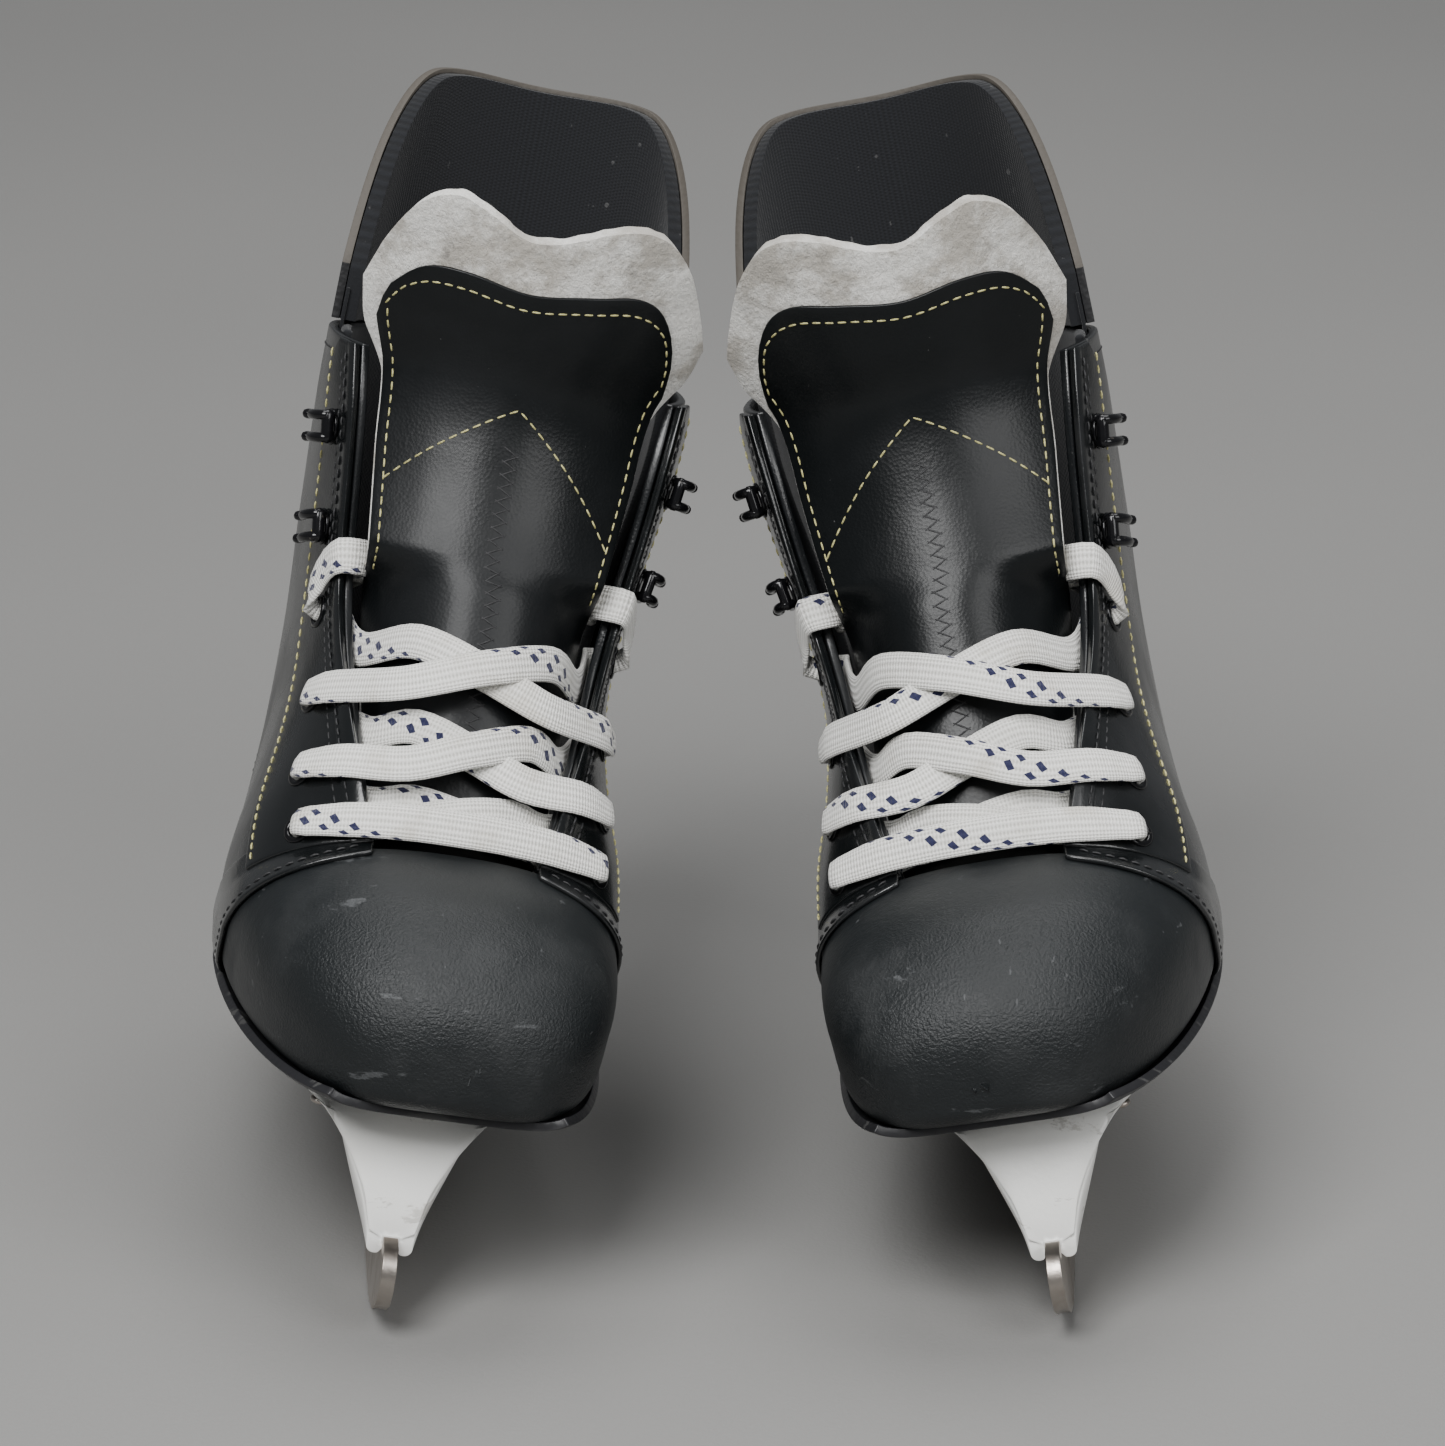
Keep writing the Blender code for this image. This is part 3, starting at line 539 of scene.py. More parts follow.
# --- Runners --------------------------------------------------------------------------------------
# A stainless steel blade, ground hollow along its edge, so that it has two edges. It sits in the
# holder's slot, and both its ends curve up off the ice.
HOLDER_FOOT = (18.5, 5.6)
SLOT = (2.0, 4.6)
RUNNER_TOP = HOLDER_FOOT[0] + SLOT[1] - GAP
RUNNER_OUTLINE = [
    (-60, 0), (-80, 0.4), (-97, 1.6), (-108, 4.6), (-115.5, 9.0), (-118.5, 14), (-118, 19),
    (-114, RUNNER_TOP), (101, RUNNER_TOP), (106.5, 19.5), (108.5, 14), (106, 7), (100, 3), (90, 1.0),
    (76, 0.3), (60, 0),
]
HOLLOW = 0.35


def runner_finish():
    finish = Finish("runner_steel", (0.40, 0.36, 0.33), 0.3, Metallic=1.0)
    grain = finish.clouds(90, 4, (14, 1, 14))
    stain = finish.clouds(55, 4).between(0.42, 0.7)
    finish.colour(stain, (0.46, 0.42, 0.38), (0.27, 0.225, 0.19))
    finish.roughness(0.24 + stain * 0.22 + grain * 0.12)
    return finish.relief(grain, 0.00012, 0.5)


def loft(name, side, rings, material):
    """A solid through rings of points in the skate's frame."""
    bm = bmesh.new()
    skinned(bm, [[bm.verts.new(stand(side, point)) for point in ring] for ring in rings])
    bmesh.ops.remove_doubles(bm, verts=bm.verts, dist=0.000005)
    return close_mesh(name, bm, material)


def finished(piece, *modifiers):
    """Applies modifiers given as (kind, settings), one after the other."""
    bpy.context.view_layer.objects.active = piece
    for kind, settings in modifiers:
        modifier = piece.modifiers.new(kind.title(), kind)
        for name, value in settings.items():
            setattr(modifier, name, value)
        bpy.ops.object.modifier_apply(modifier=modifier.name)
    return piece


def rounded(piece, width, segments, angle):
    """Rounds the edges that are sharper than an angle."""
    limits = {"limit_method": "ANGLE", "angle_limit": angle}
    return finished(piece, ("BEVEL", {"width": width * MM, "segments": segments, **limits}))


runner_material = runner_finish()
for side in STANCE:
    across = [-1, -0.86, -0.5, 0, 0.5, 0.86, 1]
    rings = []
    for share in across:
        ring = []
        for y, z in RUNNER_OUTLINE:
            ground = HOLLOW * (1 - share**2) if z < 12 else 0
            ring.append(Vector((share * RUNNER_HALF, y, z + ground)))
        rings.append(ring)
    runner = loft(f"{side}_blade", side, rings, runner_material)
    rounded(runner, 0.2, 2, 1.0)
    fitted(runner, side, "runner_steel", "runner")

# --- Holders --------------------------------------------------------------------------------------
# One moulding of white nylon: a front and a rear tower, joined by a bridge along the runner. Its
# flange lies under the sole. It is scuffed and marked by pucks and blades.
OUTSOLE = 3.0
TOWER_WAIST, FLANGE = 16.0, 3.0
HOLDER = [
    (-108, 25, 5.2), (-104, 33, 7.5), (-99, 41, 12), (-95, None, 19), (-80, None, 25), (-60, None, 26),
    (-42, None, 22), (-36, None, 16), (-31, 36, 9), (-24, 31, 6.5), (2, 29.5, 6), (28, 31, 6.5), (35, 36, 9),
    (40, None, 16), (50, None, 20), (68, None, 22), (86, None, 20), (94, None, 15), (99, 38, 9),
    (103, 26, 5.8),
]


def holder_finish():
    finish = Finish("holder_plastic", (0.78, 0.78, 0.75), 0.36)
    scuffs = finish.clouds(75, 6, (1, 0.35, 2.2), 0.7).between(0.60, 0.66) * 0.55
    marks = finish.clouds(42, 3).between(0.66, 0.70) * 0.8
    dust = finish.clouds(16, 5).between(0.45, 0.8) * 0.35
    clean = finish.mix(dust, (0.88, 0.88, 0.85), (0.74, 0.72, 0.66))
    scuffed = finish.mix(scuffs, clean, (0.42, 0.40, 0.36))
    finish.colour(marks, scuffed, (0.13, 0.12, 0.11))
    finish.roughness(0.30 + scuffs * 0.5 + dust * 0.25)
    return finish.relief(finish.clouds(420, 4) + scuffs * 1.5, 0.00018, 0.5)


def holder_ring(y, reach, half):
    foot, foot_half = HOLDER_FOOT
    slot_half, slot_depth = SLOT
    top = sole_height(y) - OUTSOLE - GAP if reach is None else reach
    waist = min(TOWER_WAIST, half)
    slope = foot + (top - FLANGE - foot) * 0.5
    half_ring = [
        (slot_half, foot + slot_depth),
        (slot_half, foot + 0.6),
        (slot_half + 0.6, foot),
        (min(foot_half, half) - 0.9, foot),
        (min(foot_half, half), foot + 1.0),
        (foot_half + (waist - foot_half) * 0.52, slope),
        (waist, top - FLANGE),
        (half - 0.4, top - FLANGE * 0.7),
        (half, top - FLANGE * 0.35),
        (half - 0.3, top),
    ]
    right = [Vector((x, y, z)) for x, z in half_ring]
    return right + [Vector((-point.x, y, point.z)) for point in reversed(right)]


holder_material = holder_finish()
for side in STANCE:
    rings = [holder_ring(*station) for station in HOLDER]
    holder = loft(f"{side}_moulded_holder", side, rings, holder_material)
    finished(rounded(holder, 0.5, 2, 0.9), ("SUBSURF", {"levels": 2, "render_levels": 2}))
    fitted(holder, side, "holder_plastic", "holder")

# --- Runner bolts ---------------------------------------------------------------------------------
# Steel bolts inside both towers hold the runner up in its slot. Their turned shapes stay as they are.
for side in STANCE:
    for place in ("front", "rear"):
        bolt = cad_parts[f"{side}_{place}_runner_bolt"]
        bolt.data.materials.clear()
        bolt.data.materials.append(runner_material)

# --- Outsoles -------------------------------------------------------------------------------------
# A stiff black composite plate, moulded round the sole. Steel rivets hold the holder's flange to it.
SIDE_COLUMNS = 9
RIVET = 2.4
RIVET_ROWS = [(-88, 19.5), (-70, 19.5), (-52, 19.5), (50, 16.5), (66, 16.5), (82, 16.5)]


def outsole_finish():
    finish = Finish("outsole_composite", (0.018, 0.018, 0.02), 0.45)
    weave = finish.cells(520)
    scratches = finish.clouds(60, 6, (0.4, 3, 3)).between(0.60, 0.64) * 0.4
    finish.colour(scratches, (0.014, 0.014, 0.016), (0.10, 0.10, 0.095))
    finish.roughness(0.40 + scratches * 0.4)
    return finish.relief(weave, 0.00025, 0.35)


def moulded(side, place):
    """The object just added, with each of its points moved to a place in the skate's frame."""
    piece = bpy.context.object
    for vertex in piece.data.vertices:
        vertex.co = stand(side, place(*vertex.co))
    piece.data.update()
    return piece


def laid(name, side, surface, grid, thick, material, rim, seam=False):
    """A grid of rows and columns laid on a surface, thickened inwards and rounded at its rim. A seam
    closes it on itself."""
    rows, columns = grid
    bpy.ops.mesh.primitive_grid_add(x_subdivisions=columns, y_subdivisions=rows, size=1)
    piece = moulded(side, lambda x, y, z: surface(x + 0.5, y + 0.5, 0.0))
    piece.name = piece.data.name = name
    middle = piece.data.polygons[len(piece.data.polygons) // 2 + columns // 3]
    corners = [piece.data.uv_layers[0].uv[i].vector for i in middle.loop_indices]
    u, v = [sum(corner[axis] for corner in corners) / 4 for axis in (0, 1)]
    out = stand(side, surface(u, v, 0.0)) - stand(side, surface(u, v, 1.0))
    if middle.normal.dot(out) < 0:
        piece.data.flip_normals()
    if seam:
        bpy.ops.object.mode_set(mode="EDIT")
        bpy.ops.mesh.select_all(action="SELECT")
        bpy.ops.mesh.remove_doubles(threshold=0.00002)
        bpy.ops.object.mode_set(mode="OBJECT")
    finished(piece, ("SOLIDIFY", {"thickness": thick * MM, "offset": -1, "use_even_offset": not seam}))
    if rim:
        rounded(piece, rim, 3, math.radians(62))
    piece.data.materials.append(material)
    piece.data.shade_smooth()
    return piece


def side_angle(t, share):
    """The angle at a share of the way from the throat's edge to the keel."""
    edge = edge_angle(t)
    return edge + (math.pi - edge) * share


def under_sole(first, start, end):
    """The form's underside, from one side round the keel to the other, as a surface of u and v."""

    def surface(u, v, inset):
        t = start + (end - start) * v
        around = 2 * u - 1
        share = 1 - abs(around) * (1 - first / (SIDE_COLUMNS - 1))
        return skin(t, math.copysign(side_angle(t, share), around), inset)

    return surface


def joined(name, pieces, material):
    """One object made of several, with one finish."""
    bpy.ops.object.select_all(action="DESELECT")
    for piece in pieces:
        piece.select_set(True)
    bpy.context.view_layer.objects.active = pieces[0]
    bpy.ops.object.join()
    piece = bpy.context.object
    piece.name = piece.data.name = name
    piece.data.materials.clear()
    piece.data.materials.append(material)
    piece.data.shade_smooth()
    return piece


outsole_material = outsole_finish()
for side in STANCE:
    face = under_sole(5, -0.72, 0.46)
    outsole = laid(
        f"{side}_sole_plate", side, lambda u, v, inset: face(u, v, inset - OUTSOLE), (90, 60),
        OUTSOLE - 3 * GAP, outsole_material, rim=0.7,
    )
    fitted(outsole, side, "outsole_composite", "outsole")
    heads = []
    for y, out in RIVET_ROWS:
        for x in (-out, out):
            bpy.ops.mesh.primitive_uv_sphere_add(segments=14, ring_count=7, radius=RIVET)
            at = Vector((x, y, sole_height(y) - OUTSOLE - GAP - FLANGE * 0.9))
            heads.append(moulded(side, lambda x, y, z: at + Vector((x, y, z * 0.45))))
    rivets = joined(f"{side}_flange_rivets", heads, runner_material)
    fitted(rivets, side, "runner_steel")

# --- Toe caps -------------------------------------------------------------------------------------
# A hard cup of charcoal rubbery plastic. Its front is pebbled, the band below the throat is smoother,
# and pucks and boards have left pale scuffs on it.
CAP = 2.5
SEAM_GAP = 0.004  # share of the boot left open along the toe cap's seam


def toe_cap_finish():
    finish = Finish("toe_cap_rubber", (0.022, 0.025, 0.027), 0.55, **{"Specular IOR Level": 0.38})
    _, y, z = finish.axes()
    front = 1 - (y * 1000).between(-97.0, -78.0)
    height = (z * 1000).between(38.0, 60.0)
    pebbles = finish.clouds(1500, 2, roughness=0.6)
    coarse = finish.clouds(520, 2)
    dust = finish.clouds(38, 6).between(0.46, 0.72)
    rub = finish.clouds(24, 5, roughness=0.75).between(0.5, 0.7) * front
    scuffs = finish.clouds(85, 5, (0.5, 1, 2.6), 0.7).between(0.635, 0.69)
    nicks = finish.clouds(140, 3, (2.5, 1, 0.6), 0.6).between(0.70, 0.73)
    plain = finish.mix(dust * 0.7, (0.009, 0.011, 0.012), (0.020, 0.022, 0.023))
    rubbed = finish.mix(rub * 0.65, plain, (0.030, 0.032, 0.033))
    finish.colour((scuffs + nicks) * 0.4, rubbed, (0.13, 0.135, 0.14))
    finish.roughness(0.46 + dust * 0.16 + rub * 0.10 - height * 0.03)
    return finish.relief(pebbles * (0.35 + front * 1.0) + coarse * 0.45, 0.00034, 0.7)


toe_cap_material = toe_cap_finish()
for side in STANCE:

    def cap_surface(u, v, inset):
        t = -1 + (1 - SEAM_GAP) * v**1.8
        return skin(t, (2 * u - 1) * math.pi, inset)

    toe_cap = laid(f"{side}_toe_cup", side, cap_surface, (72, 120), CAP, toe_cap_material, rim=0.5, seam=True)
    fitted(toe_cap, side, "toe_cap_rubber", "toe_cap")

# --- Quarters -------------------------------------------------------------------------------------
# The boot's two sides, of glossy black synthetic leather on a stiff board, lasted together along the
# sole and the heel. Each is punched with four eyelets.
EYELET_RADIUS = 2.9


def quarter_finish():
    coat = {"Coat Weight": 0.15, "Coat Roughness": 0.2}
    finish = Finish("quarter_synthetic", (0.012, 0.013, 0.014), 0.3, **coat)
    folds = finish.clouds(28, 3, (1, 0.5, 1))
    grain = finish.cells(1500)
    haze = finish.clouds(20, 5).between(0.4, 0.75)
    scratches = finish.clouds(70, 5, (3, 0.5, 1), 0.7).between(0.66, 0.69) * 0.4
    plain = finish.mix(haze, (0.006, 0.007, 0.008), (0.014, 0.015, 0.016))
    finish.colour(scratches, plain, (0.12, 0.12, 0.115))
    finish.roughness(0.24 + haze * 0.16 + scratches * 0.3)
    return finish.relief(grain * 0.12 + folds * 1.5, 0.0006, 0.5)


def punched(piece, side, hand):
    """Cuts the four eyelets out of a piece of the upper."""
    for t in EYELET_ROWS:
        at, normal, _, _ = on_upper(t, hand * eyelet_angle(t))
        low, high = stand(side, at - normal * 8), stand(side, at + normal * 8)
        bpy.ops.mesh.primitive_cylinder_add(vertices=28, radius=EYELET_RADIUS * MM, depth=(high - low).length)
        drill = bpy.context.object
        turned = (high - low).to_track_quat("Z", "Y").to_matrix().to_4x4()
        drill.matrix_world = Matrix.Translation((low + high) / 2) @ turned
        bpy.context.view_layer.update()
        finished(piece, ("BOOLEAN", {"object": drill, "operation": "DIFFERENCE", "solver": "EXACT"}))
        bpy.data.objects.remove(drill)


quarter_material = quarter_finish()
for side in STANCE:
    for word, hand in HANDS.items():

        def quarter_surface(u, v, inset):
            t = SEAM_GAP + (1 - SEAM_GAP) * v
            point = skin(t, hand * side_angle(t, u), inset)
            if u > 0.999:
                point.x = hand * 0.1
            return point

        quarter = laid(
            f"{side}_{word}_side", side, quarter_surface, (96, 56), QUARTER_THICK, quarter_material, rim=0.6
        )
        punched(quarter, side, hand)
        fitted(quarter, side, "quarter_synthetic", f"{word}_quarter")

# --- Eyestays -------------------------------------------------------------------------------------
# A glossy strip doubled over each edge of the throat, where the laces pull. A narrow binding folds
# over its inner edge, a wing runs down over the toe cap's seam, and its eyelets have enamelled rings.
EYESTAY_BAND = [(0.0, 34), (0.2, 29), (0.4, 24.5), (0.8, 18), (1.0, 15)]
EYESTAY_THICK = 1.4
BINDING_WIDE, BINDING_THICK = 5.0, 0.45
BINDING_FOLD = 0.9  # how far its lower face lies inside the eyestay
WING_OUT, WING_THICK = 1.5, 1.2
RING_OUT, RING_WIRE = 0.35, 0.75


def eyestay_finish():
    coat = {"Coat Weight": 0.3, "Coat Roughness": 0.12}
    finish = Finish("eyestay_synthetic", (0.010, 0.011, 0.012), 0.26, **coat)
    folds = finish.clouds(55, 3, (1, 0.6, 1))
    haze = finish.clouds(30, 5).between(0.42, 0.75)
    finish.colour(haze, (0.005, 0.006, 0.0065), (0.014, 0.015, 0.016))
    finish.roughness(0.20 + haze * 0.2)
    return finish.relief(folds * 1.2 + finish.cells(1400) * 0.1, 0.0007, 0.5)


def ring_finish():
    finish = Finish("hook_enamel", (0.006, 0.006, 0.007), 0.16, Metallic=0.2)
    chips = finish.clouds(380, 4).between(0.68, 0.72)
    finish.colour(chips, (0.006, 0.006, 0.007), (0.05, 0.045, 0.04))
    finish.roughness(0.14 + chips * 0.3)
    return finish.relief(finish.clouds(300, 3), 0.0001, 0.4)


def eyelet_ring(side, hand, t):
    at, normal, away, up = on_upper(t, hand * eyelet_angle(t), EYESTAY_OUT + 0.1)
    bpy.ops.mesh.primitive_torus_add(
        major_radius=EYELET_RADIUS + RING_OUT, minor_radius=RING_WIRE, major_segments=28, minor_segments=8
    )
    return moulded(side, lambda x, y, z: at + away * x + up * y + normal * z * 0.7)


def wing_droop(share):
    """How far the wing reaches forward over the toe cap, from the throat to the sole."""
    return 0.075 * math.sin(math.pi * min(share * 1.1, 1)) ** 0.7


eyestay_material, ring_material = eyestay_finish(), ring_finish()
for side in STANCE:
    for word, hand in HANDS.items():

        def eyestay_surface(u, v, inset):
            t = SEAM_GAP + (1 - SEAM_GAP) * v
            wide = curve_through(EYESTAY_BAND, t)[0]
            wide -= 6.0 * max(0, (v - 0.93) / 0.07) ** 2
            return skin(t, hand * edge_angle(t, u * wide), inset - EYESTAY_OUT)

        strip = laid(
            f"{side}_{word}_facing_strip", side, eyestay_surface, (96, 16), EYESTAY_THICK,
            eyestay_material, rim=0.5,
        )
        punched(strip, side, hand)
        fitted(strip, side, "eyestay_synthetic", f"{word}_eyestay")

        def binding_surface(u, v, inset):
            t = 0.002 + 0.998 * v
            lift = math.sin(math.pi * min(u * 1.4, 1)) * 0.25
            out = EYESTAY_OUT + BINDING_THICK + lift
            return skin(t, hand * edge_angle(t, -0.5 + u * BINDING_WIDE), inset - out)

        binding = laid(
            f"{side}_{word}_edge_binding", side, binding_surface, (96, 8), BINDING_THICK + BINDING_FOLD,
            eyestay_material, rim=0.3,
        )
        fitted(binding, side, "eyestay_synthetic")

        def wing_surface(u, v, inset):
            droop = wing_droop(u)
            t = -0.03 - droop + (0.085 + droop) * v
            return skin(t, hand * side_angle(t, u * 0.93), inset - WING_OUT)

        wing = laid(
            f"{side}_{word}_wing", side, wing_surface, (14, 56), WING_THICK, eyestay_material, rim=0.45
        )
        fitted(wing, side, "eyestay_synthetic")

        rings = [eyelet_ring(side, hand, t) for t in EYELET_ROWS]
        rings = joined(f"{side}_{word}_eyelet_rings", rings, ring_material)
        fitted(rings, side, "hook_enamel")

# --- Seams of the upper ---------------------------------------------------------------------------
# Waxed thread, cream round the eyestays' outer edge and charcoal along the throat and the wings. Each
# stitch is a short bead that dips into the leather at both ends.
STITCH, STITCH_GAP, THREAD = 2.2, 0.9, 0.25


def thread_finish(name, colour, dark):
    finish = Finish(name, colour, 0.6)
    fibres = finish.clouds(1800, 3)
    finish.colour(fibres.between(0.3, 0.7), dark, colour)
    return finish.relief(fibres, 0.0002, 0.6)


def sewn(name, side, path, material, stitch=STITCH, gap=STITCH_GAP, thread=THREAD, zigzag=0.0):
    """A row of stitches along a path, which gives a place and the way out of the leather."""
    count = 160
    samples = [path(i / count) for i in range(count + 1)]
    lengths = [0.0]
    for (a, _), (b, _) in zip(samples, samples[1:]):
        lengths.append(lengths[-1] + (b - a).length)

    def at(run):
        i = min(max(sum(length <= run for length in lengths) - 1, 0), count - 1)
        f = (run - lengths[i]) / max(lengths[i + 1] - lengths[i], 1e-6)
        (a, out_a), (b, out_b) = samples[i], samples[i + 1]
        return a.lerp(b, f), out_a.lerp(out_b, f).normalized(), (b - a).normalized()

    bm = bmesh.new()
    run, turn = stitch / 2, 1
    while run < lengths[-1] - stitch / 2:
        middle, out, ahead = at(run)
        across = out.cross(ahead).normalized()
        ahead = (ahead + across * turn * zigzag).normalized()
        across = out.cross(ahead).normalized()
        rings = []
        for share, swell in ((-1, 0.25), (-0.8, 0.85), (0, 1.0), (0.8, 0.85), (1, 0.25)):
            centre = middle + ahead * share * stitch / 2 - out * thread * 0.9 * share**2
            ring = []
            for k in range(6):
                bend = 2 * math.pi * k / 6
                point = centre + (across * math.cos(bend) + out * math.sin(bend)) * thread * swell
                ring.append(bm.verts.new(stand(side, point)))
            rings.append(ring)
        skinned(bm, rings)
        run += stitch + gap if not zigzag else gap
        turn = -turn
    return close_mesh(name, bm, material)


def beside_throat(beyond):
    """A line along the throat, as many millimetres past its edge as a function of t says."""

    def line(v):
        t = 0.02 + 0.96 * v
        return t, edge_angle(t, beyond(t))

    return line


def wing_line(v):
    t = -0.03 - wing_droop(v) + 0.018
    return t, side_angle(t, 0.03 + v * 0.86)


def collar_line(v):
    return 0.972, side_angle(0.972, 0.16 + v * 0.82)


def counter_line(v):
    t = 0.96 - 0.60 * v
    return t, side_angle(t, 0.86 - 0.42 * math.sin(v * math.pi / 2) ** 2)


cream_thread = thread_finish("cream_thread", (0.66, 0.62, 0.30), (0.34, 0.31, 0.12))
charcoal_thread = thread_finish("charcoal_thread", (0.035, 0.035, 0.037), (0.012, 0.012, 0.013))
# Each row's line over the form, its height over it, and its thread.
ROWS = {
    "outer": (beside_throat(lambda t: curve_through(EYESTAY_BAND, t)[0] - 1.8), 2.1, cream_thread),
    "throat": (beside_throat(lambda t: 3.4), 2.75, charcoal_thread),
    "eyelet": (beside_throat(lambda t: 6.6), 2.05, charcoal_thread),
    "wing": (wing_line, 1.55, charcoal_thread),
    "collar": (collar_line, 0.05, charcoal_thread),
    "counter": (counter_line, 0.05, charcoal_thread),
}
for side in STANCE:
    for word, hand in HANDS.items():
        for row, (line, above, thread) in ROWS.items():

            def path(v):
                t, angle = line(v)
                return on_upper(t, hand * angle, above)[:2]

            seam = sewn(f"{side}_{word}_{row}_seam", side, path, thread)
            fitted(seam, side, "eyestay_synthetic")

# --- Hooks ----------------------------------------------------------------------------------------
# Two enamelled lace hooks on each side of the ankle. Each is a riveted foot with two bent prongs,
# joined at their outer ends by a rolled bar.
HOOK_ROWS = (0.68, 0.85)
PRONG, PRONG_APART = 1.2, 2.7
FOOT_OUT, FOOT_UP, FOOT_THICK = 4.0, 4.4, 0.9
PRONG_LINE = [
    (3.6, 1.2), (0.5, 1.3), (-2.4, 1.5), (-3.5, 2.6), (-2.9, 3.9), (-0.8, 4.8), (2.2, 4.7), (4.4, 4.0),
    (5.6, 4.7),
]


def rod(bm, side, line, radius, around=10):
    """Adds a round rod along a line of points, with rounded ends."""
    rings = []
    for i, point in enumerate(line):
        ahead = (line[min(i + 1, len(line) - 1)] - line[max(i - 1, 0)]).normalized()
        across = (across - ahead * across.dot(ahead)).normalized() if i else ahead.orthogonal().normalized()
        up = ahead.cross(across)
        first, last = ((-0.9, 0.35), (-0.5, 0.85), (0, 1.0)), ((0, 1.0), (0.5, 0.85), (0.9, 0.35))
        for push, swell in {0: first, len(line) - 1: last}.get(i, ((0, 1.0),)):
            centre = point + ahead * push * radius
            ring = []
            for k in range(around):
                turn = 2 * math.pi * k / around
                place = centre + (across * math.cos(turn) + up * math.sin(turn)) * radius * swell
                ring.append(bm.verts.new(stand(side, place)))
            rings.append(ring)
    skinned(bm, rings)


for side in STANCE:
    for word, hand in HANDS.items():
        for place, t in zip(("lower", "upper"), HOOK_ROWS):
            at, normal, away, up = on_upper(t, hand * eyelet_angle(t), EYESTAY_OUT + GAP)
            bm = bmesh.new()
            keys = [(i, *point) for i, point in enumerate(PRONG_LINE)]
            fine = [curve_through(keys, k / 3) for k in range(3 * len(PRONG_LINE) - 2)]
            for apart in (-1, 1):
                line = [at + away * x + normal * z + up * apart * PRONG_APART for x, z in fine]
                rod(bm, side, line, PRONG)
            bend = at - away * 3.3 + normal * 2.7
            bar = [bend + up * (PRONG_APART * share) for share in (-1, -0.4, 0.4, 1)]
            rod(bm, side, bar, PRONG * 1.25)
            hook = close_mesh(f"{side}_{word}_{place}_prongs", bm, ring_material)
            bpy.ops.mesh.primitive_cylinder_add(vertices=32, radius=1, depth=1)

            def foot_point(x, y, z):
                flat = at + away * (x * FOOT_OUT + 0.3) + up * y * FOOT_UP
                return flat + normal * (z + 0.5) * FOOT_THICK

            foot = moulded(side, foot_point)
            rounded(foot, 0.3, 2, 0.9)
            hook = joined(f"{side}_{word}_{place}_prongs", [hook, foot], ring_material)
            fitted(hook, side, "hook_enamel", f"{word}_{place}_hook")

# --- Ankle linings --------------------------------------------------------------------------------
# Foam pads round heel and ankle, covered in black knitted fabric with fine ribs.
LINER = (3.1, 5.6)


def knit_finish():
    sheen = {"Sheen Weight": 0.12, "Sheen Roughness": 0.5}
    finish = Finish("knit_lining", (0.010, 0.011, 0.014), 0.95, **sheen)
    across, along, _ = finish.axes("UV")
    # Both run in units of the knit's ribs.
    rib = (across * 2 * math.pi).sine()
    loop = (along * 2 * math.pi).sine() * (across * math.pi).sine()
    fluff = finish.clouds(900, 4)
    lint = finish.clouds(260, 3).between(0.70, 0.74) * 0.5
    # Painted shade: the knit is coloured darker along the ribs' low lines, which the same sine sinks in the
    # bump.
    knit = finish.mix(rib.between(-1, 1), (0.003, 0.0035, 0.005), (0.006, 0.007, 0.0095))
    finish.colour(lint, knit, (0.10, 0.10, 0.10))
    return finish.relief(rib * 0.15 + loop * 0.2 + fluff * 0.8, 0.0004, 0.6)


def ribbed(piece, columns, rows):
    """Scales the piece's UV map to its number of ribs and loops."""
    for loop in piece.data.uv_layers[0].uv:
        loop.vector = (loop.vector[0] * columns, loop.vector[1] * rows)


knit_material = knit_finish()
for side in STANCE:
    face = under_sole(2, 0.07, 1.0)

    def liner_surface(u, v, inset):
        return face(u, v, LINER[0] + inset)

    liner = laid(
        f"{side}_ankle_padding", side, liner_surface, (90, 110), LINER[1] - LINER[0], knit_material, rim=1.0
    )
    ribbed(liner, 210, 160)
    fitted(liner, side, "knit_lining", "ankle_liner")

# --- Footbeds -------------------------------------------------------------------------------------
# A loose sheet of dense dark foam, cut to the boot's inside.
FOOTBED = (6.8, 8.8)


def footbed_finish():
    finish = Finish("footbed_foam", (0.030, 0.031, 0.036), 0.9)
    wear = finish.clouds(18, 4).between(0.4, 0.7)
    finish.colour(wear, (0.022, 0.023, 0.027), (0.055, 0.054, 0.056))
    return finish.relief(finish.cells(900), 0.0004, 0.5)


footbed_material = footbed_finish()
for side in STANCE:
    face = under_sole(6, -0.58, 0.40)
    footbed = laid(
        f"{side}_foam_insole", side, lambda u, v, inset: face(u, v, inset + FOOTBED[0]), (70, 40),
        FOOTBED[1] - FOOTBED[0], footbed_material, rim=0.6,
    )
    fitted(footbed, side, "footbed_foam", "footbed")

# --- Tongues --------------------------------------------------------------------------------------
# White wool felt behind a glossy black facing, sewn round the facing's edge in cream, with a second
# seam across it in a shallow peak and a zigzag seam up its middle. The felt stands out past the
# facing at the top in two lobes, and is rubbed and grimy. The part above the laces folds forwards.
TONGUE_FOOT, TONGUE_SPLIT = -0.06, 0.60
FACING_INSET, FACING_THICK = 6.6, 1.0
FELT_INSET, FELT_BEHIND, FELT_THICK, FELT_MARGIN = 8.0, 1.4, 3.5, 0.075
TONGUE_TOP = [
    (0.00, -20, 154, 28, 9),
    (0.35, -7, 177, 31, 12),
    (0.62, -1, 195, 33, 14),
    (0.74, -3, 208, 37.5, 14),
    (0.88, -6, 224, 38.5, 12),
    (1.00, -9, 241, 29, 8),
]
TONGUE_TILT = (26.0, 4.0)
SHOULDER, SHOULDER_HALF = 0.8, 38.5  # from here up it is cut from a full width
HINGE_FROM, HINGE_TO, HINGE_BLEND = 0.93, 1.12, 0.14
WIDER_FROM, WIDER_OVER = 1.60, 0.10
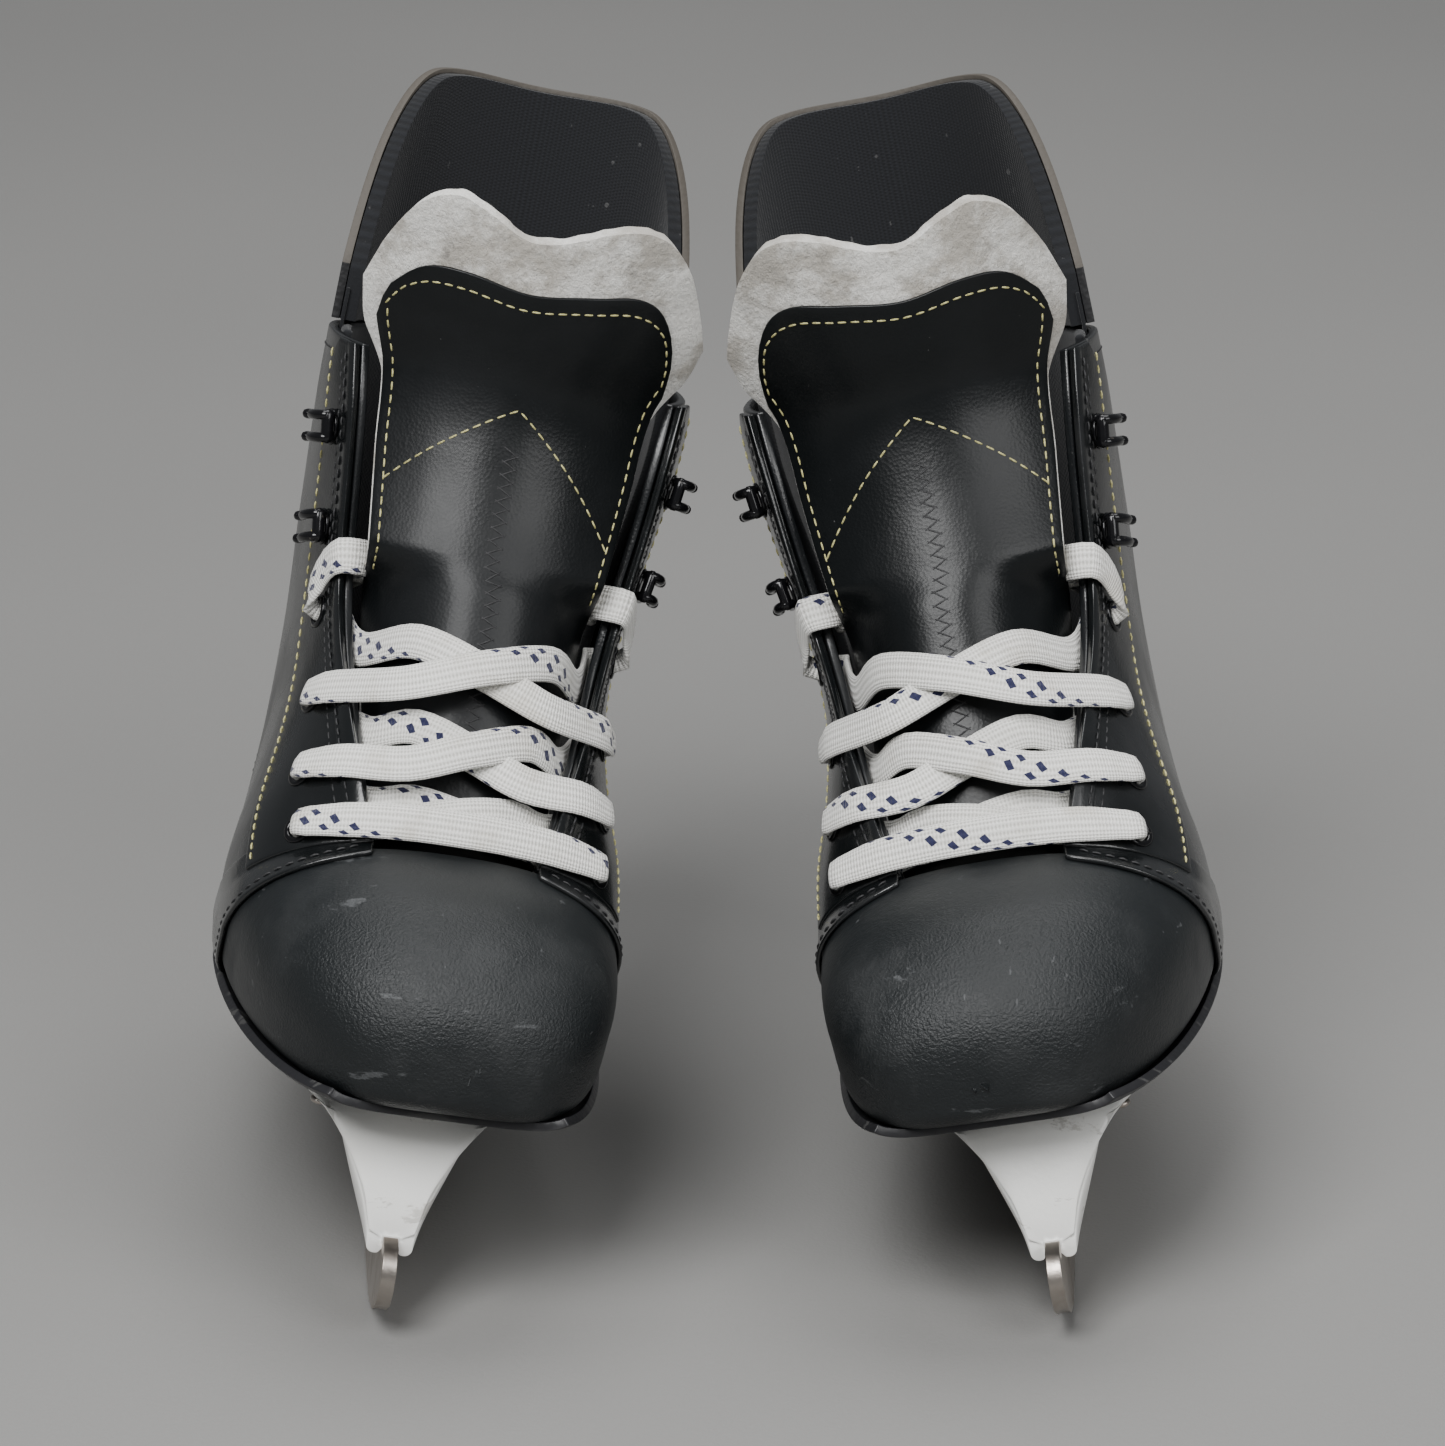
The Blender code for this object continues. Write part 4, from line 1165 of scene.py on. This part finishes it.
EDGE_IN, EDGE_MARGIN, EDGE_SIDE = 0.035, 0.075, 0.30
# How high the facing and the felt reach, from the outer side over the middle to the inner side.
FACING_REACH = [
    (-1, 0.72), (-0.93, 0.79), (-0.76, 0.85), (-0.5, 0.86), (-0.1, 0.842), (0.3, 0.86), (0.62, 0.87),
    (0.80, 0.825), (1, 0.66),
]
FELT_REACH = [
    (-1, 0.80), (-0.95, 0.875), (-0.82, 0.955), (-0.62, 0.99), (-0.42, 0.975), (-0.25, 0.95), (-0.10, 0.94),
    (0.10, 0.955), (0.30, 0.98), (0.52, 0.99), (0.72, 0.96), (0.88, 0.885), (1, 0.78),
]


def tongue_point(share, across, depth):
    """A place on the free part of the tongue, from -1 to 1 across, at a depth behind its face."""
    y, z, half, bow = curve_through(TONGUE_TOP, share)
    if share > SHOULDER:
        half = SHOULDER_HALF
    fall = math.radians(TONGUE_TILT[0] + (TONGUE_TILT[1] - TONGUE_TILT[0]) * share)
    back = Vector((0, math.cos(fall), -math.sin(fall)))
    return Vector((half * across, y, z)) + back * (bow * across**2 + depth)


def tongue_place(run, across, inset, depth, beyond):
    """A place on the whole tongue: run is 0 at its foot, 1 at the hinge and above 1 on its free part."""
    t = TONGUE_FOOT + (TONGUE_SPLIT - TONGUE_FOOT) * min(run, 1.04)
    base = skin(t, across * edge_angle(t, beyond), inset)
    share = min(max((run - HINGE_FROM) / HINGE_BLEND, 0), 1)
    if share == 0:
        return base
    top = tongue_point(max(run - 1, 0), across, depth)
    share = share * share * (3 - 2 * share)
    return base.lerp(top, share)


def tongue_surface(inset, depth, beyond, margin, reach):
    """One layer of the tongue. Its margin is how much wider it is at the top, as a share."""

    def surface(u, v, into):
        across = 2 * u - 1
        run = v * (1 + curve_through(reach, across)[0])
        past = min(max((run - WIDER_FROM) / WIDER_OVER, 0), 1) * margin
        return tongue_place(run, across * (1 + past), inset + into, depth + into, beyond)

    return surface


def facing_finish():
    coat = {"Coat Weight": 0.08, "Coat Roughness": 0.2}
    finish = Finish("tongue_facing", (0.008, 0.009, 0.010), 0.3, **coat)
    folds = finish.clouds(26, 3, (1, 1, 0.6))
    grain = finish.cells(1300)
    haze = finish.clouds(22, 5).between(0.42, 0.75)
    dust = finish.clouds(900, 2).between(0.78, 0.80) * 0.5
    plain = finish.mix(haze, (0.004, 0.005, 0.0055), (0.009, 0.010, 0.011))
    finish.colour(dust, plain, (0.2, 0.2, 0.2))
    finish.put({"Roughness": 0.33 + haze * 0.14, "Specular IOR Level": 0.24})
    return finish.relief(folds * 1.6 + grain * 0.12, 0.0007, 0.5)


def felt_finish():
    finish = Finish("tongue_felt", (0.78, 0.76, 0.71), 0.97, **{"Sheen Weight": 0.4, "Sheen Roughness": 0.7})
    _, _, z = finish.axes()
    high = (z * 1000).between(205.0, 232.0)
    blotches = finish.clouds(48, 6, roughness=0.68)
    grime = (blotches + high * 0.07).between(0.46, 0.64)
    black = finish.clouds(120, 6, roughness=0.75).between(0.58, 0.70) * 0.6
    fibres = finish.clouds(1500, 5, (1, 1, 0.5), 0.7)
    clean = finish.mix(fibres.between(0.3, 0.7), (0.76, 0.74, 0.69), (0.90, 0.89, 0.85))
    rubbed = finish.mix(grime * 0.75, clean, (0.33, 0.29, 0.23))
    finish.colour(black * grime, rubbed, (0.10, 0.09, 0.08))
    return finish.relief(fibres * 1.0 + finish.clouds(420, 4) * 1.2, 0.0009, 0.8)


facing_material, felt_material = facing_finish(), felt_finish()
for side in STANCE:
    start = tuple(stand(side, tongue_place(HINGE_FROM, 0, FACING_INSET, 0, 3)))
    end = tuple(stand(side, tongue_place(HINGE_TO, 0, FACING_INSET, 0, 3)))

    def follows(piece, slot, *nodes):
        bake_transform(piece)
        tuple(start)
        if nodes:
            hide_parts(*[f"{side}_{node}" for node in nodes])

    face = tongue_surface(FACING_INSET, 0.0, 3, 0, FACING_REACH)
    facing = laid(f"{side}_tongue_face", side, face, (110, 48), FACING_THICK, facing_material, rim=0.4)
    follows(facing, "tongue_facing", "tongue_base_facing", "tongue_top_facing")

    plush = tongue_surface(FELT_INSET, FELT_BEHIND, 5, FELT_MARGIN, FELT_REACH)

    def felt_surface(u, v, inset):
        point = plush(u, v, inset)
        lump = noise.noise(point * 0.11) * 0.5 + noise.noise(point * 0.35) * 0.22
        edge = min(max((v - 0.9) / 0.1, 0), 1)
        return point + Vector((0, -lump * (0.25 + edge), lump * edge * 0.8))

    felt = laid(f"{side}_tongue_wool", side, felt_surface, (130, 72), FELT_THICK, felt_material, rim=1.3)
    follows(felt, "tongue_felt", "tongue_base_felt", "tongue_top_felt")

    def on_face(run, across, above=0.1):
        place = tongue_place(run, across, FACING_INSET, 0, 3)
        out = place - tongue_place(run, across, FACING_INSET + 1, 1, 3)
        return place + out.normalized() * above, out.normalized()

    def edge_seam(v):
        """Up the outer edge, over the top and down the inner edge, just inside the facing's edge."""
        if v < EDGE_SIDE or v > 1 - EDGE_SIDE:
            across = math.copysign(1 - EDGE_MARGIN, v - 0.5)
            up = min(v, 1 - v) / EDGE_SIDE
            return on_face(1 + (curve_through(FACING_REACH, across)[0] - EDGE_IN) * up, across)
        across = ((v - EDGE_SIDE) / (1 - 2 * EDGE_SIDE) * 2 - 1) * (1 - EDGE_MARGIN)
        return on_face(1 + curve_through(FACING_REACH, across)[0] - EDGE_IN, across)

    def peak_seam(v):
        across = 2 * v - 1
        run = 1.56 - 0.30 * abs(across) ** 1.15 - 0.10 * max(across, 0)
        return on_face(run, across * 0.93)

    def middle_seam(v):
        return on_face(0.45 + 1.02 * v, 0.0, 0.02)

    seams = (
        ("edge", edge_seam, cream_thread, {}),
        ("peak", peak_seam, cream_thread, {}),
        ("zigzag", middle_seam, charcoal_thread, {"stitch": 5.0, "gap": 1.6, "thread": 0.22, "zigzag": 1.8}),
    )
    for name, path, thread, sizes in seams:
        seam = sewn(f"{side}_tongue_{name}_seam", side, path, thread, **sizes)
        follows(seam, "tongue_facing")

# --- Tendon guards --------------------------------------------------------------------------------
# A springy black plastic guard stands up behind the ankle, its top cut straight with sloping
# corners. Its rim is rubbed to a brownish grey, and its inside is padded and covered in the knit.
GUARD_EDGE = [(0.0, 64), (0.62, 64), (0.85, 58), (1.10, 42), (1.38, 14)]
GUARD_THICK, GUARD_LIFT = 2.0, 1.0
GUARD_PAD = (2.3, 6.0)
GUARD_TURN = 1.38


def guard_finish():
    finish = Finish("guard_plastic", (0.014, 0.014, 0.015), 0.42)
    _, height, _ = finish.axes("UV")
    rubbed = (height + finish.clouds(120, 4) * 0.02).between(0.985, 0.999)
    scratches = finish.clouds(60, 5, (3, 3, 0.6), 0.7).between(0.63, 0.68) * 0.4
    plain = finish.mix(scratches, (0.013, 0.013, 0.014), (0.09, 0.088, 0.08))
    finish.colour(rubbed, plain, (0.075, 0.066, 0.055))
    finish.roughness(0.36 + rubbed * 0.3 + scratches * 0.3)
    return finish.relief(finish.cells(800), 0.0002, 0.4)


guard_material = guard_finish()
for side in STANCE:
    top, keel = section(1.0)[:2]
    back_way = (keel - top).normalized()
    guard_up = Vector((0, -back_way.z, back_way.y))

    def guard_surface(first, lower):
        def surface(u, v, inset):
            turn = (2 * u - 1) * GUARD_TURN
            height = curve_through(GUARD_EDGE, abs(turn))[0] - lower
            angle = math.copysign(math.pi - abs(turn), turn)
            return skin(1.0, angle, inset + first) + guard_up * (GUARD_LIFT + v * height)

        return surface

    guard = laid(
        f"{side}_guard_shell", side, guard_surface(0.0, 0.0), (50, 90), GUARD_THICK, guard_material, rim=0.6
    )
    fitted(guard, side, "guard_plastic", "tendon_guard", body="guard")
    pad = laid(
        f"{side}_guard_padding", side, guard_surface(GUARD_PAD[0] - 0.1, 1.2), (50, 90),
        GUARD_PAD[1] - GUARD_PAD[0], knit_material, rim=1.5,
    )
    ribbed(pad, 110, 75)
    fitted(pad, side, "knit_lining", "guard_pad", body="guard")

# --- Guard gussets --------------------------------------------------------------------------------
# An elastic strip of the knit, sewn inside the collar and inside the guard's foot, which keeps the two
# joined.
GUSSET_INSET, GUSSET_THICK = 2.45, 0.8
GUSSET_DOWN, GUSSET_UP = 0.06, 9.0

for side in STANCE:

    def gusset_surface(u, v, inset):
        angle = math.copysign(math.pi - abs((2 * u - 1) * (GUARD_TURN + 0.02)), 2 * u - 1)
        if v < 0.5:
            return skin(1 - GUSSET_DOWN * (1 - 2 * v), angle, GUSSET_INSET + inset)
        return skin(1.0, angle, GUSSET_INSET + inset) + guard_up * (2 * v - 1) * GUSSET_UP

    gusset = laid(
        f"{side}_guard_gusset", side, gusset_surface, (24, 90), GUSSET_THICK, knit_material, rim=0.2
    )
    ribbed(gusset, 110, 24)
    middle = skin(1.0, math.pi, GUSSET_INSET)
    start = tuple(stand(side, middle))
    end = tuple(stand(side, middle + guard_up * GUSSET_UP * 0.9))
    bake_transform(gusset)
    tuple(start)

# --- Floor and lights -----------------------------------------------------------------------------
# A plain pale grey paper floor under soft overhead light.
def paper_finish():
    finish = Finish("grey_paper", (0.28, 0.277, 0.27), 0.9)
    tint = finish.clouds(1.5, 2).between(0.3, 0.7)
    finish.colour(tint, (0.215, 0.213, 0.207), (0.235, 0.232, 0.225))
    return finish.relief(finish.clouds(900, 3), 0.0004, 0.35)


bpy.ops.mesh.primitive_plane_add(size=12)
floor = bpy.context.object
floor.name = "paper_floor"
floor.data.materials.append(paper_finish())

for name, place, size, power in (
    ("key_panel", (-0.6, -1.3, 1.8), 1.1, 56),
    ("fill_panel", (1.2, -1.3, 1.4), 1.2, 22),
    ("top_panel", (0.1, 0.6, 2.2), 1.4, 30),
):
    bpy.ops.object.light_add(type="AREA", location=place)
    panel = bpy.context.object
    panel.name = name
    panel.data.size = size
    panel.data.energy = power
    panel.rotation_euler = (Vector((0, 0, 0.1)) - Vector(place)).to_track_quat("-Z", "Y").to_euler()
world = bpy.data.worlds.new("soft_room")
world.use_nodes = True
world.node_tree.nodes["Background"].inputs[0].default_value = (0.8, 0.82, 0.85, 1)
world.node_tree.nodes["Background"].inputs[1].default_value = 0.22
bpy.context.scene.world = world
